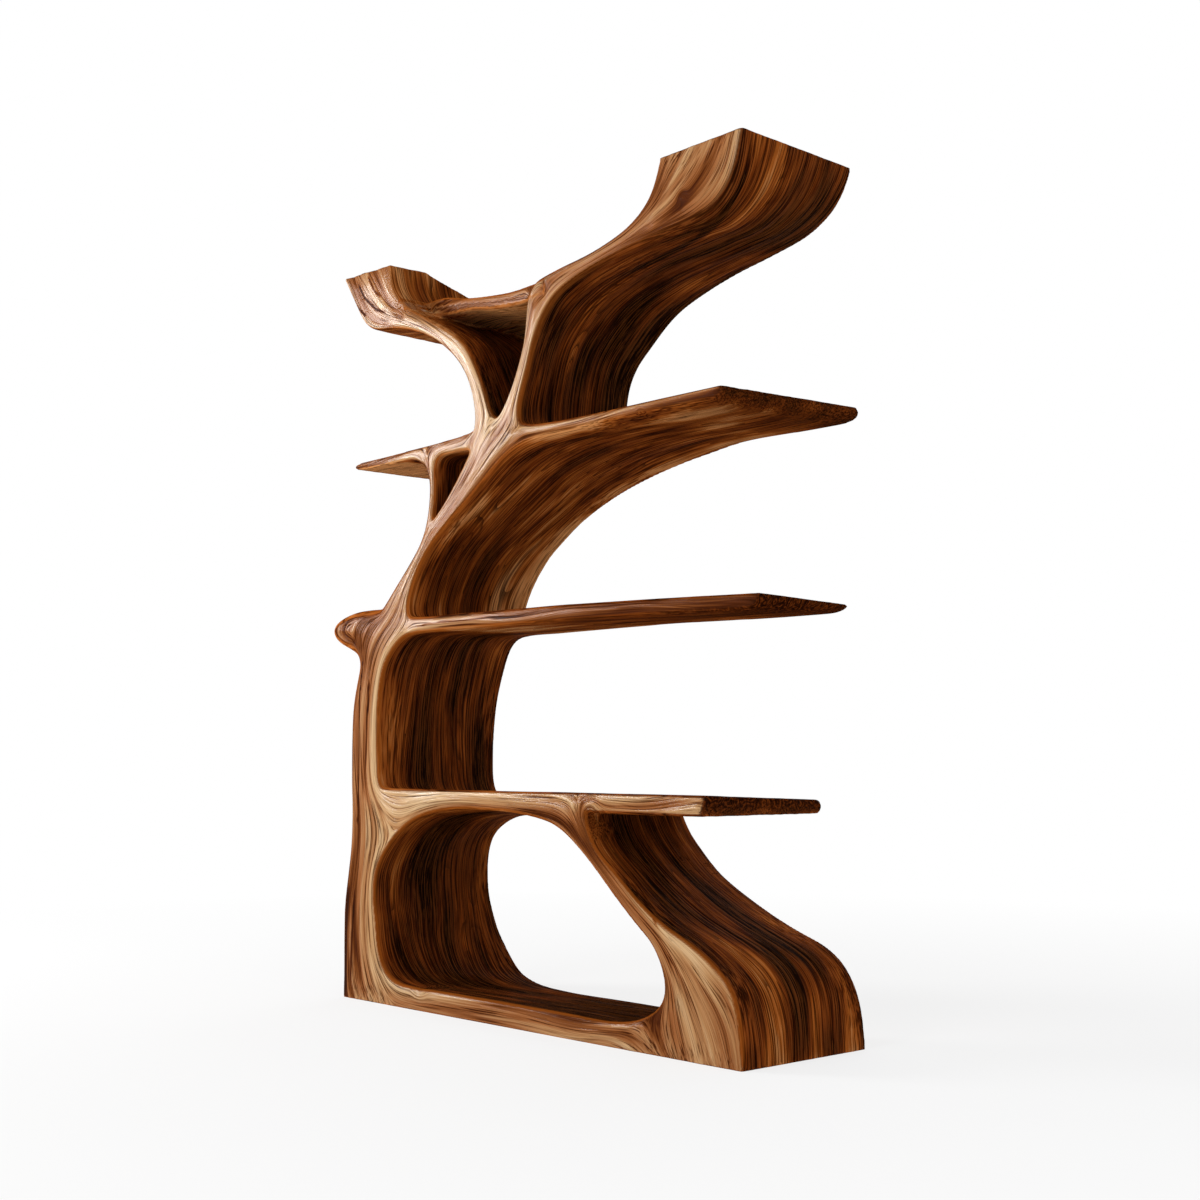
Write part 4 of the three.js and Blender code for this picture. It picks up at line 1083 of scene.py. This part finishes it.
def contours(tree, pattern, count, sharp, soft):
    """Contour lines of a pattern, sharp on one side and soft on the other, as growth rings are."""
    part = calc(tree, "FRACT", calc(tree, "MULTIPLY", pattern, count))
    return span(tree, part, sharp, soft, 1.0, 0.0)


def face_wood(tree, sap_and_sheen, patterns, rings):
    """The colour of a face, and how far its dark lines cover it."""
    drawn = span(tree, patterns["lines"], 0.5, 0.42, 0.0, 0.85)
    crowded = span(tree, patterns["strands"], 0.56, 0.46, 0.12, 1.0)
    lines = calc(tree, "MAXIMUM", calc(tree, "MULTIPLY", drawn, crowded),
                 calc(tree, "MULTIPLY", rings, FACE_RINGS))
    return dyed(tree, lines, tone_ramp(tree, sap_and_sheen, FACE_TONES), FACE_LINE_TONE), lines


def wall_wood(tree, tone, patterns, rings, wall):
    """The colour of a wall."""
    # Painted highlight: thin light lines on the raised fibres of the wall.
    light = calc(tree, "MAXIMUM", span(tree, patterns["lines"], 0.53, 0.58, 0.0, 0.22),
                 span(tree, patterns["fibres"], 0.55, 0.6, 0.0, 0.28))
    made = dyed(tree, light, tone_ramp(tree, tone, WALL_TONES), WALL_FIBRE_GLINT_TONE)
    made = dyed(tree, span(tree, patterns["lines"], 0.48, 0.43, 0.0, 0.6), made, WALL_GAP_TONE)
    veins = calc(tree, "MULTIPLY", span(tree, tone, 0.2, 0.6, 0.15, 0.75),
                 contours(tree, patterns["swirl"], *VEINS))
    for edge, middle in VEIN_EDGES:
        veins = calc(tree, "MULTIPLY", veins, span(tree, wall, edge, middle, 0.0, 1.0))
    dark = calc(tree, "MAXIMUM", calc(tree, "MULTIPLY", rings, WALL_RINGS), veins)
    return dyed(tree, dark, made, WALL_GAP_TONE)


def end_wood(tree, position):
    """The colour of end grain."""
    pores = add(tree, "TexNoise", {"Vector": position, "Scale": PORE_SCALE, "Detail": 3.0,
                                   "Roughness": 0.6})
    curls = add(tree, "TexNoise", {"Vector": position, "Scale": CURL_SCALE, "Detail": 2.0,
                                   "Roughness": 0.5})
    curls = calc(tree, "PINGPONG", calc(tree, "MULTIPLY", curls, CURL_TURNS), 1.0)
    return tone_ramp(tree, calc(tree, "ADD", span(tree, curls, 0.0, 1.0, 0.15, -0.12), pores),
                     END_TONES)


print("rings and veins:", RINGS, VEINS)

# %% [markdown]
# ## The finish
# The piece is oiled and polished by hand, most where the hand reaches: the faces are silky and
# mirror the window softly, the walls stay dull, and the dark open lines hold no polish at all.
# Along the rounded front edges an orange rim is painted, as the highlight that these edges catch.
# The same lines that are seen are also felt, so they carry a little relief.

# %% The oiled wood
RIM_HIGHLIGHT_SHARE, END_SHARE = 0.65, 0.9
LINE_HEIGHT, FIBRE_HEIGHT = 0.9, 0.15
WOOD_IOR = 1.48
WALL_POLISH, FACE_POLISH = 0.015, 0.55
POLISH_ROUGHNESS = 0.22


def oiled_wood(name):
    """Oil rubbed out by hand on figured hardwood: silky on the faces, dull on the walls."""
    material = bpy.data.materials.new(name)
    material.use_nodes = True
    tree = material.node_tree
    shader = tree.nodes["Principled BSDF"]
    layers = [add(tree, "Attribute", attribute_name=layer).outputs["Vector"] for layer in LAYERS]
    position = add(tree, "TexCoord").outputs["Object"]
    wood, place, numbers = read_layers(tree, layers, position)
    patterns = {pattern: streaks(tree, numbers, pattern) for pattern in PATTERNS}
    rings = contours(tree, patterns["strands"], *RINGS)

    sap_and_sheen = shifted(tree, wood.outputs["X"], patterns, FACE_SHARES, FACE_MIDDLE)
    tone = shifted(tree, wood.outputs["Y"], patterns, WALL_SHARES, WALL_MIDDLE)
    face, dark_lines = face_wood(tree, sap_and_sheen, patterns, rings)
    wall = wall_wood(tree, tone, patterns, rings, numbers["wall"])
    # Faces take the face colour and walls the darker wall colour, which is partly painted shade.
    made = dyed(tree, place.outputs["X"], wall, face)
    # Painted highlight: the orange rim along the rounded front edges.
    made = dyed(tree, calc(tree, "MULTIPLY", wood.outputs["Z"], RIM_HIGHLIGHT_SHARE), made, RIM_HIGHLIGHT_TONE)
    made = dyed(tree, calc(tree, "MULTIPLY", place.outputs["Y"], END_SHARE), made,
                end_wood(tree, position))
    tree.links.new(made, shader.inputs["Base Color"])

    rough = span(tree, patterns["strands"], 0.35, 0.65, 0.42, 0.58)
    tree.links.new(rough.outputs[0], shader.inputs["Roughness"])
    height = calc(tree, "MULTIPLY", patterns["lines"], LINE_HEIGHT * MM)
    height = calc(tree, "MULTIPLY_ADD", patterns["fibres"], FIBRE_HEIGHT * MM, height)
    bump = add(tree, "Bump", {"Strength": 1.0, "Distance": 1.0, "Height": height})
    for socket in ("Normal", "Coat Normal"):
        tree.links.new(bump.outputs[0], shader.inputs[socket])

    polish = span(tree, place.outputs["X"], 0.0, 1.0, WALL_POLISH, FACE_POLISH)
    closed = span(tree, dark_lines, 0.0, 0.8, 1.0, 0.2)
    pale = span(tree, sap_and_sheen, 0.35, 0.75, 0.12, 1.0)
    dull_rim = span(tree, wood.outputs["Z"], 0.0, 0.8, 1.0, 0.1)
    for share in (closed, pale, dull_rim):
        polish = calc(tree, "MULTIPLY", polish, share)
    tree.links.new(polish.outputs[0], shader.inputs["Coat Weight"])
    shader.inputs["IOR"].default_value = WOOD_IOR
    shader.inputs["Specular IOR Level"].default_value = 0.0
    shader.inputs["Coat Roughness"].default_value = POLISH_ROUGHNESS
    return material


heartwood = oiled_wood("heartwood_hand_oiled")
sapwood = oiled_wood("sapwood_hand_oiled")
print("woods:", heartwood.name, sapwood.name)

# %% [markdown]
# ## Carving the figure
# The tree of nodes runs once over the whole figure, before the saw, so that the flutes run on from
# one section into the next.

# %% Carve the whole figure
whole = as_object("whole", whole_mesh)
tool = whole.modifiers.new("carve", "NODES")
tool.node_group = carve
for item in carve.interface.items_tree:
    if item.in_out == "INPUT" and item.name == "Wood":
        tool[item.identifier] = heartwood
carved_mesh = plain_copy("carved", whole)
bpy.data.objects.remove(whole)
print("carved figure:", len(carved_mesh.vertices), "points")

# %% [markdown]
# ## Sawing the figure into its sections
# A joiner would glue up blocks and carve them together. The lesson goes the other way: the carved
# figure is cut by flat saws, each one across a limb, so that the grain and the skin run on without
# a step. Each fence below is the outline of the room that one section keeps, in millimetres.

# %% Fences
FENCES = {
    "base_rail": [(-343, -60), (328, -60), (328, 75), (-343, 70)],
    "trunk_foot": [(-343, -60), (-748, -60), (-748, 300), (-452, 300), (-343, 70)],
    "boot": [(328, -60), (762, -60), (762, 282), (460, 282), (386, 188), (328, 75)],
    "leg": [(386, 188), (460, 282), (268, 442), (147, 349)],
    "shelf_1": [(147, 349), (268, 442), (608, 442), (608, 515), (-362, 515), (-362, 400)],
    "trunk_stem": [(-452, 300), (-683, 300), (-683, 640), (-452, 640), (-362, 515), (-362, 400)],
    "trunk_neck": [(-452, 640), (-683, 640), (-593, 788), (-558, 925), (-473, 970), (-343, 912),
                   (-343, 828)],
    "shelf_2": [(-343, 912), (-343, 828), (762, 828), (762, 912)],
    "stub": [(-558, 925), (-593, 788), (-748, 788), (-748, 925)],
    "bough": [(-473, 970), (-343, 912), (-142, 1095), (-237, 1195), (-272, 1135), (-352, 1120)],
    "left_strut": [(-352, 1120), (-272, 1135), (-267, 1235), (-343, 1212)],
    "left_shelf": [(-343, 1212), (-267, 1235), (-192, 1240), (-203, 1300), (-419, 1300),
                   (-419, 1240)],
    "left_shelf_tip": [(-419, 1300), (-419, 1240), (-748, 1240), (-748, 1300)],
    "fork": [(-237, 1195), (-142, 1095), (47, 1175), (68, 1300), (67, 1330), (-78, 1368),
             (-203, 1335), (-203, 1300), (-192, 1240)],
    "shelf_3": [(68, 1300), (47, 1175), (762, 1175), (762, 1300)],
    "left_branch": [(-203, 1335), (-78, 1368), (-102, 1500), (-305, 1583), (-288, 1670),
                    (-412, 1690), (-468, 1555)],
    "left_crown": [(-468, 1555), (-412, 1690), (-412, 1800), (-748, 1800), (-748, 1555)],
    "bridge": [(-288, 1670), (-305, 1583), (18, 1530), (18, 1610)],
    "right_branch": [(67, 1330), (-78, 1368), (-102, 1500), (18, 1530), (18, 1610), (317, 1655),
                     (332, 1555)],
    "right_crown": [(317, 1655), (332, 1555), (762, 1555), (762, 1800), (317, 1800)],
}
print("fences:", len(FENCES))
SAPWOOD_SECTIONS = ("base_rail", "boot", "stub", "bough", "left_strut", "left_shelf",
                    "left_shelf_tip", "fork")
FENCE_DEPTH = 250.0
SIDE = 800
SHARP_ANGLE = 50
STOREYS = {"lower": (0, 520), "middle": (290, 1310), "upper": (1090, TOP)}


def prism(name, outline):
    """A closed prism over an outline across and up, deep enough to pass the whole figure."""
    count = len(outline)
    corners = [(x * MM, side * FENCE_DEPTH * MM, z * MM) for side in (-1, 1) for x, z in outline]
    faces = [tuple(range(count)), tuple(range(2 * count - 1, count - 1, -1))]
    faces += [(i, i + count, (i + 1) % count + count, (i + 1) % count) for i in range(count)]
    mesh = bpy.data.meshes.new(name)
    mesh.from_pydata(corners, [], faces)
    work = bmesh.new()
    work.from_mesh(mesh)
    bmesh.ops.recalc_face_normals(work, faces=work.faces)
    bmesh.ops.triangulate(work, faces=work.faces)
    work.to_mesh(mesh)
    work.free()
    return as_object(name, mesh)


def kept_inside(mesh, name, outline):
    """The part of a closed mesh inside the prism over an outline."""
    raw = as_object("raw_" + name, mesh.copy())
    fence = prism("fence_" + name, outline)
    saw = raw.modifiers.new("saw", "BOOLEAN")
    saw.operation = "INTERSECT"
    saw.solver = "MANIFOLD"
    saw.object = fence
    kept = plain_copy(name, raw)
    bpy.data.objects.remove(raw)
    bpy.data.objects.remove(fence)
    return kept


# %% [markdown]
# ## The cuts
# The figure is first sawn into three storeys, which makes the cuts of the sections quicker. A cut
# leaves new points on its face, so each section reads its numbers from the field again.

# %% Saw
storeys = {name: kept_inside(carved_mesh, name, [(-SIDE, low), (SIDE, low), (SIDE, high),
                                                 (-SIDE, high)])
           for name, (low, high) in STOREYS.items()}
for name, outline in FENCES.items():
    low, high = max(min(z for _, z in outline), 0), min(max(z for _, z in outline), TOP)
    storey = next(s for s, (start, stop) in STOREYS.items() if start <= low and high <= stop)
    mesh = kept_inside(storeys[storey], name, outline)
    for layer in LAYERS:
        if layer in mesh.attributes:
            mesh.attributes.remove(mesh.attributes[layer])
    give_numbers(mesh)
    section = as_object("carved_" + name, mesh)
    is_pale = name in SAPWOOD_SECTIONS
    mesh.materials.clear()
    mesh.materials.append(sapwood if is_pale else heartwood)
    mesh.shade_smooth()
    mesh.set_sharp_from_angle(angle=math.radians(SHARP_ANGLE))
    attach(section, "root")
    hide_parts(name)
    print(name, len(mesh.polygons), "faces")

# %% [markdown]
# ## The loose tenons
# They stay the solids of the model, hidden in their mortises. Planed beech is what a maker would
# take: pale, straight and plain, because nobody sees it.

# %% Tenons
BEECH_SCALE = 90.0


def planed_beech():
    """Beech from the planer: pale and matte, with a faint cloudiness."""
    material = bpy.data.materials.new("beech_planed")
    material.use_nodes = True
    tree = material.node_tree
    shader = tree.nodes["Principled BSDF"]
    clouds = add(tree, "TexNoise", {"Vector": add(tree, "TexCoord").outputs["Object"],
                                    "Scale": BEECH_SCALE, "Detail": 2.0})
    tone = dyed(tree, clouds.outputs["Fac"], colour("#b98d5e"), "#cda673")
    tree.links.new(tone, shader.inputs["Base Color"])
    shader.inputs["Roughness"].default_value = 0.6
    return material


planed = planed_beech()
for name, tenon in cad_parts.items():
    if name.startswith("tenon_"):
        tenon.data.materials.clear()
        tenon.data.materials.append(planed)
print("tenons:", sum(name.startswith("tenon_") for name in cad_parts))

# %% [markdown]
# ## The studio
# A big soft window to the front left, weak ones in front, to the right and behind. The window is
# where the polish of the faces mirrors it for the camera, so the faces get their silky light.

# %% Lamps
LAMPS = {
    "window": {"place": (-3.9, -2.8, 2.1), "size": 1.8, "power": 160.0, "aim": (-0.1, 0.0, 1.0)},
    "front": {"place": (0.4, -4.4, 2.6), "size": 2.0, "power": 60.0, "aim": (0.0, 0.0, 0.9)},
    "fill": {"place": (3.8, -0.6, 1.2), "size": 2.0, "power": 20.0, "aim": (0.0, 0.0, 0.9)},
    "back": {"place": (-1.6, 4.6, 2.4), "size": 5.0, "power": 70.0, "aim": (0.0, 0.0, 0.9)},
}
for name, lamp in LAMPS.items():
    data = bpy.data.lights.new(name, "AREA")
    data.shape = "DISK"
    data.size = lamp["size"]
    data.energy = lamp["power"]
    light = bpy.data.objects.new(name, data)
    light.location = lamp["place"]
    toward = Vector(lamp["aim"]) - Vector(lamp["place"])
    light.rotation_euler = toward.to_track_quat("-Z", "Y").to_euler()
    bpy.context.scene.collection.objects.link(light)

print("lamps:", list(LAMPS))

# %% [markdown]
# ## The room
# The room is white, and dimmer as a light than as a sight, so that the lamps shape the wood. The
# floor is pale matte paper that fades into the white of the room and keeps the piece's shadow.

# %% Room and floor
WORLD_LIGHT = 0.45
FLOOR_REACH = 12.0
FLOOR_GREY = 0.85
GLOW_START, GLOW_STOP, GLOW_LEAST = 1.2, 3.5, 0.75


def seen_directly(tree, *kinds):
    """1 for rays of these kinds and 0 for the others, which light the scene."""
    paths = add(tree, "LightPath")
    seen = paths.outputs[kinds[0]]
    for kind in kinds[1:]:
        seen = calc(tree, "MAXIMUM", seen, paths.outputs[kind])
    return seen


world = bpy.data.worlds.new("studio")
world.use_nodes = True
room = world.node_tree
seen = seen_directly(room, "Is Camera Ray", "Is Glossy Ray", "Is Transmission Ray")
strength = span(room, seen, 0.0, 1.0, WORLD_LIGHT, 1.0)
room.links.new(strength.outputs[0], room.nodes["Background"].inputs["Strength"])
room.nodes["Background"].inputs["Color"].default_value = (1, 1, 1, 1)
bpy.context.scene.world = world
bpy.context.scene.view_settings.view_transform = "Standard"

floor_mesh = bpy.data.meshes.new("floor")
floor_mesh.from_pydata([(x * FLOOR_REACH, y * FLOOR_REACH, 0)
                        for x, y in ((-1, -1), (1, -1), (1, 1), (-1, 1))], [], [(0, 1, 2, 3)])
floor = as_object("floor", floor_mesh)
matte = bpy.data.materials.new("floor_white_matte")
matte.use_nodes = True
paper = matte.node_tree
paper_shader = paper.nodes["Principled BSDF"]
paper_shader.inputs["Base Color"].default_value = (FLOOR_GREY, FLOOR_GREY, FLOOR_GREY, 1)
paper_shader.inputs["Roughness"].default_value = 0.9
glow = add(paper, "Emission", {"Color": (1, 1, 1, 1), "Strength": 1.0})
from_middle = add(paper, "VectorMath", (add(paper, "TexCoord").outputs["Object"],),
                  operation="LENGTH").outputs["Value"]
glow_share = calc(paper, "MULTIPLY", seen_directly(paper, "Is Camera Ray", "Is Glossy Ray"),
                  span(paper, from_middle, GLOW_START, GLOW_STOP, GLOW_LEAST, 1.0))
mixed = add(paper, "MixShader", (glow_share, paper_shader.outputs[0], glow.outputs[0]))
paper.links.new(mixed.outputs[0], paper.nodes["Material Output"].inputs["Surface"])
floor_mesh.materials.append(matte)
print("room light:", WORLD_LIGHT, "floor:", FLOOR_REACH * 2, "m wide")
